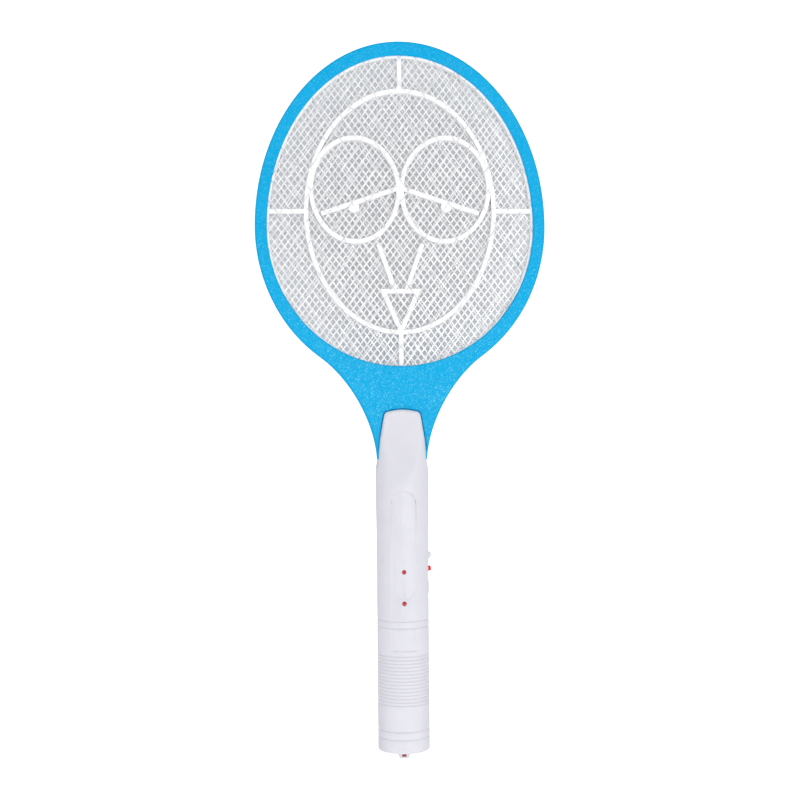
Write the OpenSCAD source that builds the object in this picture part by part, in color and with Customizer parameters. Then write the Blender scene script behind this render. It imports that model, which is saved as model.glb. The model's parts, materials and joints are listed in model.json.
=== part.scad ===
// Electric fly swatter: a bat-shaped rechargeable insect killer.
//
// +Z runs up the bat from the butt to the head, +X to its right and -Y to its front.
// Z is 0 where the straight side of the butt begins, on the handle's own axis.

/* [Head] */
// Half the width of the head
head_w = 95.2; // [92:0.1:98]
// Height of the widest line of the head
head_z = 342.5; // [338:0.5:347]
// From the widest line to the top of the head
head_up = 121.4; // [118:0.2:125]
// From the widest line to the bottom of the full oval
head_down = 102.4; // [100:0.2:105]
// Thickness of the rim, front to back
rim_t = 17; // [16:0.5:18]
// Width of the rim's flat face beside the opening
rim_w = 7.9; // [7.4:0.1:8.4]
// Extra width of the rim at its top and bottom
rim_extra = 1.3; // [0.8:0.1:1.8]
// Thickness of the frame's walls
frame_wall = 2; // [1.6:0.1:2.2]

/* [Grids] */
// Thickness of the sheet that each grid is stretched from
grid_t = 0.5; // [0.4:0.1:0.6]
// Width of the sheet metal between two diamond openings
strand_w = 1; // [0.8:0.1:1.4]
// Width of one diamond opening
diamond_w = 21.6; // [20:0.4:26]
// Height of one diamond opening
diamond_h = 31.4; // [28:0.4:36]
// Width of the ribs that keep the grids apart
rib_w = 3; // [2.6:0.1:3.4]

/* [Handle] */
// Outer radius of the grip
grip_r = 17; // [16.8:0.1:17.2]
// Thickness of the handle's wall
handle_wall = 2; // [1.8:0.1:2.2]
// Height at which the handle's sides end and only the tongues go on
shoulder_z = 190; // [188:0.5:192]
// Height of the top edge of the tongues
tongue_z = 222.7; // [220:0.2:225]
// Number of ribs round the grip
grip_ribs = 15; // [12:1:15]

/* [Controls] */
// Height of the push button
button_z = 117.9; // [117:0.1:118.6]
// How far the push button stands out
button_out = 1.6; // [1.2:0.1:2]
// How far the push button travels
button_travel = 1.2; // [0.8:0.1:1.2]
// Height of the slide switch's middle
slider_z = 105.6; // [105:0.1:106.2]
// Travel of the slide switch each way
slider_travel = 2.5; // [2:0.1:2.5]
// Height of the upper indicator
charge_led_z = 117.2; // [115:0.2:119]
// Height of the lower indicator
working_led_z = 96.8; // [95:0.2:98]

/* [Plug] */
// Radius of one plug pin
pin_r = 2; // [1.8:0.1:2.2]
// Distance between the two plug pins
pin_gap = 19; // [18:0.2:19]
// How far the plug slides out
plug_travel = 19; // [17:0.5:19]

/* [Hidden] */

$fn = 64;
eps = 0.01;
half_t = rim_t / 2;

// The opening in the head, and what lies inside its rim
open_w = head_w - rim_w;
open_up = head_up - rim_w - rim_extra;
open_down = head_down - rim_w - rim_extra - 2;
ring_show = 1.2;
ring_gap = 0.5;
spacer_t = half_t - frame_wall - grid_t * 1.5;

// The neck: a free curve from the oval down to the handle, then a narrow tang inside it
join_angle = 55.7;
neck_w = 16.2;
neck_pull_up = 16;
neck_pull_down = 23;
tang_w = 12.5;
tang_z = 172;
seat_y = 6.7;
neck_floor_y = seat_y - frame_wall;
tab_z = head_z - head_down - 2;
seat_play = 0.3;

// Screws in the rim and the handle
rim_screw_angles = [-38, 12, 51, 90, 129, 168, 218];
rim_boss_r = 2.5;
rim_screw_r = 1;
rim_head_r = 2;
rim_head_h = 1.3;
rim_seat_d = 1.5;
neck_screws = [[0, 208]];
tang_screw = [0, 181];
grip_screws = [[-9, 36], [9, 36]];
handle_boss_r = 2.8;
handle_screw_r = 1.2;
handle_head_r = 2.4;
handle_head_h = 1.8;
handle_seat_y = 11.5;
tongue_head_h = 1.3;
tongue_seat_y = 9;
screw_play = 0.2;
pilot_play = 0.1;

// The drawing of ribs inside the head: an oval with two rings, two bars, dots and a triangle
oval_centre = [0, 352];
oval_size = [61.2, 78.4];
ring_centre = [29.7, 366.8];
ring_size = [28.6, 33.6];
ring_tilt = 3;
bar_inner = [1, 368.1];
bar_outer = [51.8, 351.4];
dot_centre = [30.5, 355.7];
dot_r = 3.6;
strut_top = [14.4, 331.4];
strut_foot = [3.9, 301.2];
triangle_top = [11.5, 300.5];
triangle_tip = [0, 274.3];

// The handle's outer surface
inner_r = grip_r - handle_wall;
top_cone_z = [140, 160];
top_r = grip_r + 0.3;
facet_z = 177.4;
facet_y = 10.6;
tongue_half = 11.9;
tongue_corner_r = 3;
groove_d = 0.45;
groove_half = 0.6;
grooves = [8.1, 80.6, 85];
rib_pitch = 2.28;
rib_start = 30.3;
panel_w = 15.7;
panel_z = [99.3, 169.6];
badge_w = 18;
badge_z = [65.9, 79.3];
emboss = 0.35;

// The butt cap and its lug
butt_z = -1;
cap_z = 13.2;
cap_floor = 3;
spigot_r = inner_r - 0.2;
spigot_wall = 1.7;
spigot_z = 7;
lug_h = 6;
lug_w = [9.6, 5.2];
lug_t = 5;
slot_w = 2.9;
slot_h = 1.5;
slot_z = butt_z - 4.4;

// Boards and what stands on them
board_y = -8.9;
board_t = 1.2;
board_w = 20.8;
board_z = [91, 169];
board_back = board_y + board_t;
board_posts = [for (x = [-7.5, 7.5], z = [board_z[0] + 5, board_z[1] - 7]) [x, z]];
side_board_x = 7;
side_board_z = [95, 124];
side_board_face = side_board_x + board_t;
core_z = [141, 155];
core_wall = 2.4;
capacitor_z = [126, 137];
transistor_at = [-6, 117];
diode_rows = [159, 162.5, 166];
resistor_rows = [100, 103.5, 107];
led_r = 1.5;
led_play = 0.12;
led_foot_y = -12.4;
led_length = 5.1;

// The button, the slider and the lamp, on the right side
button_size = [5, 3];
button_flange_x = 13.2;
push_switch_x = button_flange_x - button_travel - 0.1;
slider_size = [7, 8.2];
slider_floor_x = 15.9;
slider_scoop = [98.4, 115.4];
slider_flange_x = 12.9;
lamp_z = [123.6, 128.7];
lamp_x = 16.9;
lamp_out = 2.2;
lamp_half = 3.2;

// The battery and the plug
battery_size = 19.5;
battery_z = [41, 87];
carrier_size = [23.6, 9];
carrier_z = [butt_z + cap_floor + 0.2 + plug_travel, butt_z + cap_floor + 10 + plug_travel];
arm_y = [10.6, 12.2];
arm_w = 7;
arm_top = 57;
thumb_stem_h = 6;
thumb_pad = [10, 12];
thumb_slot_w = 6;
contact_x = 12.5;
lead_x = 6;

// ---- Plane shapes, drawn looking at the front of the bat ----

// An egg outline with its own reach up and down from its widest line
function egg(w, up, down, n = 72) = [
    for (i = [0 : n - 1])
        let (a = 360 * i / n)
        [w * cos(a), head_z + (sin(a) > 0 ? up : down) * sin(a)]
];

function bezier_at(p, t) =
    pow(1 - t, 3) * p[0] + 3 * pow(1 - t, 2) * t * p[1] + 3 * (1 - t) * t * t * p[2] + t * t * t * p[3];

// The neck's right-hand edge, from the oval down to the shoulder
function neck_edge(inset, n = 12) =
    let (
        w = head_w - inset,
        down = head_down - inset,
        start = [w * cos(join_angle), head_z - down * sin(join_angle)],
        slope = w * sin(join_angle) / (down * cos(join_angle)),
        foot = [neck_w - inset, shoulder_z],
        p = [
            start, start - neck_pull_up * [slope, 1],
            foot + neck_pull_down * [0.06, 1], foot
        ]
    )
    [for (i = [0 : n]) bezier_at(p, i / n)];

// The head's outline, with its neck and tang, drawn in by inset all round
function bat_outline(inset) =
    let (
        w = head_w - inset,
        n = 48,
        right = neck_edge(inset),
        tang = [[tang_w - inset, shoulder_z], [tang_w - inset, tang_z]],
        crown = [
            for (i = [0 : n - 1])
                let (a = -join_angle + (180 + 2 * join_angle) * i / n)
                [w * cos(a), head_z + (sin(a) > 0 ? head_up - inset : head_down - inset) * sin(a)]
        ],
        left = [for (p = right) [-p[0], p[1]]],
        n_right = len(right)
    )
    concat(
        crown,
        left,
        [[-tang[0][0], tang[0][1]], [-tang[1][0], tang[1][1]], tang[1], tang[0]],
        [for (i = [n_right - 1 : -1 : 1]) right[i]]
    );

// One side of the tongue, from the shoulder to the middle of its top edge
function tongue_side(grow) =
    let (
        corner = [tongue_half + grow - tongue_corner_r, tongue_z + grow - 0.5 - tongue_corner_r],
        arc = [for (a = [10 : 20 : 90]) corner + tongue_corner_r * [cos(a), sin(a)]]
    )
    concat(
        [
            [grip_r + 1, shoulder_z - 30], [grip_r + 1, shoulder_z], [15.9 + grow, shoulder_z + 0.3],
            [15.6 + grow, 195], [14.8 + grow, 202.4], [12.7 + grow, 214.6]
        ],
        arc,
        [[0, tongue_z + grow]]
    );

module tongue_outline(grow = 0) {
    side = tongue_side(grow);
    n = len(side);
    polygon(concat(side, [for (i = [n - 2 : -1 : 0]) [-side[i][0], side[i][1]]]));
}

// A plate of the plane shape, from y to y + t
module plate(y, t) {
    translate([0, y + t, 0]) rotate([90, 0, 0]) linear_extrude(t) children();
}

// A straight bar with square ends
module bar(from, to, w) {
    length = norm(to - from);
    angle = atan2(to[1] - from[1], to[0] - from[0]);
    translate(from) rotate(angle) translate([-w / 3, -w / 2]) square([length + w / 1.5, w]);
}

module mirrored_x() {
    children();
    mirror([1, 0, 0]) children();
}

// The two ends of a span, from its middle and half its length
function span(middle, half) = [middle - half, middle + half];

// A rod along Y between two depths
module rod_y(at, y0, y1, r) {
    translate([at[0], y1, at[1]]) rotate([90, 0, 0]) cylinder(h = y1 - y0, r = r);
}

module box(x, y, z) {
    translate([x[0], y[0], z[0]]) cube([x[1] - x[0], y[1] - y[0], z[1] - z[0]]);
}

// A round tube that follows a route, with one ring of points at each stop
function tube_ring(route, i, r, sides) =
    let (
        a = route[max(i - 1, 0)],
        b = route[min(i + 1, len(route) - 1)],
        along = (b - a) / norm(b - a),
        side = cross(along, [0, 1, 0.001]),
        u = side / norm(side),
        v = cross(along, u)
    )
    [for (k = [0 : sides - 1]) route[i] + r * (cos(360 * k / sides) * u + sin(360 * k / sides) * v)];

module tube(route, r, sides = 8) {
    n = len(route);
    points = [for (i = [0 : n - 1]) each tube_ring(route, i, r, sides)];
    walls = [
        for (i = [0 : n - 2])
            for (k = [0 : sides - 1])
                let (k2 = (k + 1) % sides)
                [i * sides + k, (i + 1) * sides + k, (i + 1) * sides + k2, i * sides + k2]
    ];
    first = [for (k = [0 : sides - 1]) k];
    last = [for (k = [sides - 1 : -1 : 0]) (n - 1) * sides + k];
    polyhedron(points, concat([first], walls, [last]));
}

// ---- The head ----

function rim_screw_at(a) =
    let (w = head_w - rim_w / 2 - 0.9, up = head_up - (rim_w + rim_extra) / 2 - 0.9)
    [w * cos(a), head_z + (sin(a) > 0 ? up : head_down - rim_w / 2) * sin(a)];

// Half of the frame, on the front side of the middle plane
module frame_half() {
    opening = egg(open_w, open_up, open_down);
    difference() {
        plate(-half_t, half_t) polygon(bat_outline(0));
        plate(-half_t - eps, rim_t) polygon(opening);
        frame_pocket();
        plate(-half_t - eps, half_t - seat_y + eps) tongue_outline(seat_play);
        rod_y(tang_screw, -half_t, eps, handle_boss_r + seat_play + 0.1);
    }
}

// The hollow behind the rim's face, shallower in the neck, where the tongues press on it
module frame_pocket() {
    floor_z = tongue_z + 4;
    difference() {
        plate(frame_wall - half_t, half_t) polygon(bat_outline(frame_wall));
        box([-60, 60], [-half_t, eps], [tang_z - 5, floor_z]);
    }
    intersection() {
        plate(-neck_floor_y, half_t) polygon(bat_outline(frame_wall));
        box([-60, 60], [-half_t, 1], [tang_z - 5, floor_z + eps]);
    }
}

module front_frame() {
    color("deepskyblue") difference() {
        union() {
            frame_half();
            for (a = rim_screw_angles)
                rod_y(rim_screw_at(a), 0.4 - half_t, 0, rim_boss_r);
            for (at = neck_screws)
                rod_y(at, 0.4 - seat_y, 0, handle_boss_r);
        }
        for (a = rim_screw_angles)
            rod_y(rim_screw_at(a), frame_wall - half_t, eps, rim_screw_r + pilot_play);
        for (at = neck_screws)
            rod_y(at, frame_wall - seat_y, eps, handle_screw_r + pilot_play);
    }
}

module rear_frame() {
    color("deepskyblue") difference() {
        union() {
            mirror([0, 1, 0]) frame_half();
            for (a = rim_screw_angles)
                rod_y(rim_screw_at(a), 0, half_t - 0.4, rim_boss_r);
            for (at = neck_screws)
                rod_y(at, 0, seat_y - 0.4, handle_boss_r);
        }
        for (a = rim_screw_angles) {
            rod_y(rim_screw_at(a), -eps, half_t + eps, rim_screw_r + screw_play);
            rod_y(rim_screw_at(a), half_t - rim_seat_d, half_t + eps, rim_head_r + screw_play);
        }
        for (at = neck_screws)
            rod_y(at, -eps, half_t, handle_screw_r + screw_play);
    }
}

module screw(at, tip_y, head_y, r, head_r, head_h) {
    difference() {
        union() {
            rod_y(at, tip_y, head_y - head_h, r);
            rod_y(at, head_y - head_h, head_y, head_r);
        }
        for (turn = [0, 90])
            translate([at[0], head_y, at[1]]) rotate([0, turn, 0])
                cube([1.4 * head_r, 1.4 * (head_h - 0.4), 0.25 * head_r], center = true);
    }
}

module frame_screws() {
    color("silver") for (a = rim_screw_angles)
        screw(rim_screw_at(a), 3 - half_t, half_t - 0.2, rim_screw_r, rim_head_r, rim_head_h);
}

// The round holes that let the frame's posts through a sheet or a spacer
module post_notches() {
    for (a = rim_screw_angles)
        translate(rim_screw_at(a)) circle(rim_boss_r + 0.4);
}

module rim_area(inset) {
    polygon(egg(head_w - inset, head_up - inset, head_down - inset));
}

// The diamond lattice: two families of parallel strands
module lattice() {
    lean = atan2(diamond_h, diamond_w);
    step = diamond_w * sin(lean);
    count = ceil(head_up * 1.1 / step);
    for (side = [-1, 1])
        for (i = [-count : count])
            translate([0, head_z]) rotate(side * lean) translate([-140, i * step - strand_w / 2])
                square([280, strand_w]);
}

module grid(y, t, tab_x) {
    edge = frame_wall + ring_gap + 0.4;
    plate(y, t) {
        difference() {
            union() {
                difference() {
                    rim_area(edge);
                    polygon(egg(open_w + 1, open_up + 1, open_down + 1));
                }
                intersection() {
                    rim_area(edge + 1);
                    lattice();
                }
            }
            post_notches();
        }
        translate([tab_x - 2, tab_z]) square([4, 12]);
    }
}

module front_grid() {
    color("gainsboro") grid(frame_wall - half_t, grid_t, -6);
}

module centre_grid() {
    color("silver") grid(-grid_t / 2, grid_t, 6);
}

module rear_grid() {
    color("gainsboro") grid(half_t - frame_wall - grid_t, grid_t, -6);
}

// One closed band round an oval
module oval_band(at, size, tilt, w) {
    outer = [for (a = [0 : 6 : 354]) [(size[0] + w / 2) * cos(a), (size[1] + w / 2) * sin(a)]];
    inner = [for (a = [0 : 6 : 354]) [(size[0] - w / 2) * cos(a), (size[1] - w / 2) * sin(a)]];
    translate(at) rotate(tilt) difference() {
        polygon(outer);
        polygon(inner);
    }
}

// The drawing that the ribs make
module rib_drawing() {
    oval_band(oval_centre, oval_size, 0, rib_w);
    mirrored_x() {
        oval_band(ring_centre, ring_size, -ring_tilt, rib_w);
        bar(bar_inner, bar_outer, rib_w);
        translate(dot_centre) circle(dot_r);
        bar(strut_top, strut_foot, rib_w);
        bar([0, triangle_top[1]], triangle_top, rib_w);
        bar(triangle_tip, triangle_top, rib_w);
        bar([oval_size[0], oval_centre[1] + 1], [open_w + 1, oval_centre[1] + 1], rib_w);
    }
    bar([0, oval_centre[1] + oval_size[1]], [0, head_z + open_up + 1], rib_w);
    bar([0, head_z - open_down - 1], [0, oval_centre[1] - oval_size[1]], rib_w);
}

module spacer(y) {
    plate(y, spacer_t) difference() {
        union() {
            difference() {
                rim_area(frame_wall + ring_gap);
                polygon(egg(open_w - ring_show, open_up - ring_show, open_down));
            }
            rib_drawing();
        }
        post_notches();
    }
}

module front_spacer() {
    color("white") spacer(frame_wall + grid_t - half_t);
}

module rear_spacer() {
    color("white") spacer(grid_t / 2);
}

// The brass strip that joins the two outer grids below the opening
module grid_link() {
    reach = half_t - frame_wall - grid_t;
    color("gold") {
        for (y = [-reach, reach - grid_t])
            box([-8, -4], [y, y + grid_t], [tab_z, tab_z + 4]);
        box([-8, -4], [-reach, reach], [tab_z, tab_z + grid_t]);
    }
}

// ---- The handle ----

// The grip's outer radius from the cap up, with its ribs and grooves
function groove_points(z) = [
    [grip_r, z - groove_half], [grip_r - groove_d, z], [grip_r, z + groove_half]
];

function grip_profile() = concat(
    [
        [0, spigot_z], [spigot_r, spigot_z], [spigot_r, cap_z],
        [grip_r - groove_d, cap_z], [grip_r, cap_z + groove_half]
    ],
    [for (i = [0 : grip_ribs - 1]) each groove_points(rib_start + i * rib_pitch)],
    groove_points(grooves[1]),
    groove_points(grooves[2]),
    [[grip_r, top_cone_z[0]], [top_r, top_cone_z[1]], [top_r, tongue_z + 5], [0, tongue_z + 5]]
);

function cavity_profile() = [
    [0, spigot_z - 1], [spigot_r - spigot_wall, spigot_z - 1], [spigot_r - spigot_wall, cap_z],
    [inner_r, cap_z + 1.5], [inner_r, shoulder_z + 0.3], [0, shoulder_z + 0.3]
];

// The tongue's top, which sinks from the round grip to a flat face near the neck
function facet_at(u) = -top_r + (top_r - facet_y) * (1 - pow(1 - u, 2));

module facet_cut() {
    rise = tongue_z - facet_z;
    points = [for (i = [0 : 8]) [facet_at(i / 8), facet_z + rise * i / 8]];
    rotate([90, 0, 90]) linear_extrude(40, center = true)
        polygon(concat(
            [[-30, facet_z - 1]], points, [[facet_at(1), tongue_z + 6], [-30, tongue_z + 6]]
        ));
}

// Half of the handle, on the front side, before its own holes are cut
module shell_half() {
    intersection() {
        difference() {
            rotate_extrude() polygon(grip_profile());
            difference() {
                rotate_extrude() polygon(cavity_profile());
                translate([0, handle_wall, 0]) facet_cut();
            }
            facet_cut();
            box([-20, 20], [-seat_y, 1], [shoulder_z, tongue_z + 10]);
        }
        plate(-20, 20) union() {
            translate([-20, 0]) square([40, shoulder_z - 20]);
            tongue_outline();
        }
    }
}

// What is cut from both halves on the right side: the holes for the button, slider and lamp
module side_holes() {
    box([12, 20], span(0, button_size[0] / 2 + 0.3), span(button_z, button_size[1] / 2 + 0.3));
    box([12, 20], [-1.6, 1.6], span(slider_z, 1.9 + slider_travel));
    translate([0, 4.6, 0]) rotate([90, 0, 0]) linear_extrude(9.2)
        polygon([
            [slider_floor_x, slider_scoop[0] + 0.4], [grip_r + 1, slider_scoop[0] - 1],
            [grip_r + 1, slider_scoop[1] + 1], [slider_floor_x, slider_scoop[1] - 0.4]
        ]);
    box([14, 20], [-1.8, 1.8], lamp_z);
}

module stadium(w, z) {
    r = w / 2;
    translate([0, z[0] + r]) circle(r);
    translate([0, z[1] - r]) circle(r);
    translate([-r, z[0] + r]) square([w, z[1] - z[0] - w]);
}

// A thin layer of the grip's surface, cut to a plane shape on the front
module surface_layer(d) {
    intersection() {
        difference() {
            cylinder(h = 200, r = grip_r + 3);
            translate([0, 0, -1]) cylinder(h = 202, r = grip_r - d);
        }
        plate(-20, 15) children();
    }
}

// The posts inside the handle that its screws go into, on the side that y points to
module screw_posts(side) {
    intersection() {
        for (at = concat([tang_screw], grip_screws))
            rod_y(at, min(0, side * grip_r), max(0, side * grip_r), handle_boss_r);
        cylinder(h = shoulder_z, r = inner_r + 0.8);
    }
}

module handle_front_shell() {
    color("lavender") difference() {
        union() {
            shell_half();
            screw_posts(-1);
            for (at = board_posts)
                rod_y(at, -13.6, board_y, 1.5);
        }
        surface_layer(emboss) stadium(panel_w, panel_z);
        surface_layer(emboss) translate([-badge_w / 2, badge_z[0]])
            square([badge_w, badge_z[1] - badge_z[0]]);
        for (z = [charge_led_z, working_led_z])
            rod_y([0, z], -20, -10, led_r + led_play);
        for (at = concat([tang_screw], grip_screws))
            rod_y(at, -11, eps, handle_screw_r + pilot_play);
        side_holes();
    }
}

module handle_rear_shell() {
    stem_low = arm_top - thumb_stem_h - plug_travel - 0.5;
    color("lavender") difference() {
        union() {
            mirror([0, 1, 0]) shell_half();
            screw_posts(1);
        }
        for (at = concat([tang_screw], grip_screws, neck_screws)) {
            rod_y(at, -eps, 20, handle_screw_r + screw_play);
            rod_y(at, screw_seat(at), 20, handle_head_r + screw_play);
        }
        box(span(0, thumb_slot_w / 2), [10, 20], [stem_low, arm_top + 0.5]);
        side_holes();
    }
}

// Depth of the seat for a handle screw's head: shallower on the tongue
function screw_seat(at) = at == neck_screws[0] ? tongue_seat_y : handle_seat_y;

module handle_screws() {
    color("silver") {
        for (at = concat([tang_screw], grip_screws))
            screw(at, -9, handle_seat_y + handle_head_h, handle_screw_r, handle_head_r, handle_head_h);
        for (at = neck_screws)
            screw(at, -4, tongue_seat_y + tongue_head_h, handle_screw_r, handle_head_r, tongue_head_h);
    }
}

module butt_cap() {
    lug = [[-lug_w[0] / 2, 0.5], [lug_w[0] / 2, 0.5], [lug_w[1] / 2, -lug_h], [-lug_w[1] / 2, -lug_h]];
    outer = [
        [0, butt_z], [grip_r - 1, butt_z], [grip_r - 0.3, butt_z + 0.3], [grip_r, 0],
        [grip_r, grooves[0] - groove_half], [grip_r - groove_d, grooves[0]],
        [grip_r, grooves[0] + groove_half],
        [grip_r, cap_z - groove_half], [grip_r - groove_d, cap_z], [0, cap_z]
    ];
    color("lavender") difference() {
        union() {
            rotate_extrude() polygon(outer);
            translate([0, 0, butt_z]) plate(-lug_t / 2, lug_t) polygon(lug);
        }
        translate([0, 0, butt_z + cap_floor]) cylinder(h = 30, r = inner_r);
        for (x = span(0, pin_gap / 2))
            translate([x, 0, butt_z - 1]) cylinder(h = cap_floor + 2, r = pin_r + 0.3);
        box(span(0, slot_w / 2), [-10, 10], span(slot_z, slot_h / 2));
    }
}

module strap_plug() {
    color("red")
        box(span(0, slot_w / 2 - 0.05), span(0, lug_t / 2 - 0.2), span(slot_z, slot_h / 2 - 0.05));
}

// ---- Electronics ----

module circuit_board() {
    color("seagreen") difference() {
        box(span(0, board_w / 2), [board_y, board_back], board_z);
        for (at = board_posts)
            rod_y(at, board_y - 1, board_back + 1, 0.8);
    }
}

module switch_board() {
    color("seagreen") box([side_board_x, side_board_face], [-6.5, 6.5], side_board_z);
}

module transformer_core() {
    color("dimgray") difference() {
        box([-7, 7], [board_back, board_back + 11], core_z);
        box([-4.4, 4.4], [board_back + 1.6, board_back + 12], core_z + core_wall * [1, -1]);
    }
}

module transformer_coil() {
    color("khaki")
        box([-4.2, 4.2], [board_back + 1.8, board_back + 12.4], core_z + (core_wall + 0.2) * [1, -1]);
}

module storage_capacitor() {
    color("firebrick") box([-8.5, 3.5], [board_back + 1, board_back + 8], capacitor_z);
}

module oscillator_transistor() {
    color("black") translate([transistor_at[0], board_back + 4, transistor_at[1]]) intersection() {
        cylinder(h = 5, r = 2.4);
        translate([-3, -1.2, 0]) cube([6, 4, 5]);
    }
    color("silver") for (step = [-1.2, 0, 1.2])
        box(
            span(transistor_at[0] + step, 0.25), [board_back, board_back + 4.25],
            span(transistor_at[1] - 0.2, 0.4)
        );
}

// A small part with a round body and two bent legs, standing off the board
module axial_part(at, length, r) {
    y = board_back + r + 0.5;
    translate([at[0], y, at[1]]) rotate([0, 90, 0]) cylinder(h = length, r = r, center = true);
    for (side = [-1, 1])
        box(span(at[0] + side * (length / 2 + 0.4), 0.6), [board_back, y + 0.25], span(at[1], 0.25));
}

module rectifier_diodes() {
    color("black") for (z = diode_rows)
        axial_part([0.5, z], 5, 1.3);
}

module resistors() {
    color("burlywood") for (z = resistor_rows)
        axial_part([-5, z], 5.4, 1.1);
}

// An LED's body along Z: a collar, a round body and a domed tip, from its foot at z = 0
module led_body(length) {
    dome = [for (a = [0 : 10 : 90]) [led_r * cos(a), length - led_r + led_r * sin(a)]];
    rotate_extrude() polygon(concat([[0, 0], [led_r + 0.3, 0], [led_r + 0.3, 0.8], [led_r, 0.8]], dome));
}

module front_led(z) {
    translate([0, led_foot_y, z]) rotate([90, 0, 0]) led_body(led_length);
    for (x = [-0.6, 0.6])
        box(span(x, 0.2), [led_foot_y, board_y], span(z, 0.2));
}

module charge_led() {
    color("red") front_led(charge_led_z);
}

module working_led() {
    color("red") front_led(working_led_z);
}

module lamp_led() {
    color("ivory") translate([lamp_x, 0, lamp_z[0] + 0.5]) {
        translate([0, 0, 0.4]) cylinder(h = 2.8, r = led_r);
        translate([0, 0, 3.2]) cylinder(h = 1.3, r1 = led_r, r2 = 0.9);
        box([-4.5, 0], [-0.9, -0.5], [0, 0.5]);
        box([-4.5, 0], [0.5, 0.9], [0, 0.5]);
    }
}

// The wedge that shields the lamp, with its blunt end towards the head
module lamp_hood() {
    out_x = grip_r + lamp_out;
    color("lavender") difference() {
        translate([0, lamp_half, 0]) rotate([90, 0, 0]) linear_extrude(2 * lamp_half)
            polygon([
                [grip_r - 1.5, lamp_z[0] + 0.1], [grip_r + 0.1, lamp_z[0] + 0.1],
                [out_x, lamp_z[1] - 1.4], [out_x, lamp_z[1] - 0.3],
                [out_x - 0.3, lamp_z[1] - 0.1], [grip_r - 1.5, lamp_z[1] - 0.1]
            ]);
        translate([0, 0, lamp_z[0] - 5]) cylinder(h = 20, r = grip_r + 0.05);
        translate([lamp_x, 0, lamp_z[0] - 1]) cylinder(h = 10, r = led_r + 0.15);
    }
}

module zap_button() {
    half = button_size / 2;
    color("red") {
        box([button_flange_x, grip_r + button_out], span(0, half[0]), span(button_z, half[1]));
        box([button_flange_x, button_flange_x + 1], span(0, half[0] + 0.9), span(button_z, half[1] + 1));
    }
}

module push_switch() {
    color("black") box([side_board_face, push_switch_x - 0.6], [-3, 3], span(button_z, 3));
    color("silver") translate([push_switch_x - 0.6, 0, button_z]) rotate([0, 90, 0])
        cylinder(h = 0.6, r = 1.5);
}

module mode_slider() {
    color("lavender") difference() {
        union() {
            box(
                [slider_floor_x + 0.2, grip_r + 0.1],
                span(0, slider_size[0] / 2), span(slider_z, slider_size[1] / 2)
            );
            box([slider_flange_x, slider_floor_x + 0.3], [-1.2, 1.2], span(slider_z, 1.5));
            box([slider_flange_x, slider_flange_x + 1.3], [-2.4, 2.4], span(slider_z, 3));
        }
        for (i = [-2 : 2])
            translate([grip_r + 0.1, 0, slider_z + i * 1.5]) cube([0.6, 8, 0.6], center = true);
    }
}

module switch_lever() {
    color("black") box([side_board_face + 1.4, slider_flange_x], [-1.2, 1.2], span(slider_z, 1));
}

module slide_switch() {
    reach = slider_travel + 1.3;
    color("silver") difference() {
        box([side_board_face, slider_flange_x - 1], [-2.4, 2.4], span(slider_z, reach + 0.9));
        box([side_board_face + 1.1, 14], [-1.5, 1.5], span(slider_z, reach));
    }
}

// ---- Battery and plug ----

module battery() {
    half = battery_size / 2;
    color("dimgray") {
        box(span(0, half), span(0, half), battery_z - [0, 1.5]);
        for (x = [-5, 5])
            box(span(x, 2), [-0.4, 0.4], span(battery_z[1], 1.5));
    }
}

module plug_carrier() {
    color("lavender") difference() {
        union() {
            box(span(0, carrier_size[0] / 2), span(0, carrier_size[1] / 2), carrier_z);
            box(span(0, arm_w / 2), [0, arm_y[1]], [carrier_z[1] - 5, carrier_z[1]]);
            box(span(0, arm_w / 2), arm_y, [carrier_z[1] - 5, arm_top]);
            box(
                span(0, thumb_slot_w / 2 - 0.4), [arm_y[0], grip_r + 0.3],
                [arm_top - thumb_stem_h, arm_top]
            );
            thumb_pad();
        }
        for (x = span(0, pin_gap / 2))
            translate([x, 0, carrier_z[0] - 1]) cylinder(h = 7, r = pin_r + 0.05);
    }
}

// The pad that a thumb pushes, with ridges across it
module thumb_pad() {
    z = arm_top - thumb_stem_h / 2;
    difference() {
        box(span(0, thumb_pad[0] / 2), span(grip_r + 1.1, 0.9), span(z, thumb_pad[1] / 2));
        for (i = [-2 : 2])
            translate([0, grip_r + 2, z + i * 2]) cube([12, 1, 0.9], center = true);
    }
}

module plug_pins() {
    low = butt_z + 0.2;
    high = carrier_z[0] + 6;
    color("gold") for (x = span(0, pin_gap / 2))
        translate([x, 0, low]) union() {
            cylinder(h = 0.6, r1 = pin_r - 0.5, r2 = pin_r);
            translate([0, 0, 0.6]) cylinder(h = high - low - 0.6, r = pin_r);
        }
}

// Two springy strips in the cap that touch the carrier's ends once the plug is out
module plug_contacts() {
    color("gold") for (side = [-1, 1])
        box(span(side * contact_x, 0.2), [-2, 2], [butt_z + cap_floor, 11]);
}

// ---- Leads ----

module high_voltage_wires() {
    color("red") for (side = [-1, 1])
        tube([
            [side * lead_x, 0, tab_z], [side * lead_x, 0, 225], [side * lead_x, 0, 205],
            [side * lead_x, 0, 185], [side * lead_x, -1, 176], [side * (lead_x + 0.2), -4, 170],
            [side * (lead_x + 0.4), -7, 166.4]
        ], 0.7);
}

module battery_wires() {
    color("black") for (side = [-1, 1])
        tube([
            [side * 5, 1.2, 88.5], [side * 5, 1.2, 91], [side * 5, -0.5, 93.5], [side * 5, -3, 95],
            [side * 5, -7.6, 95]
        ], 0.5);
}

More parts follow.
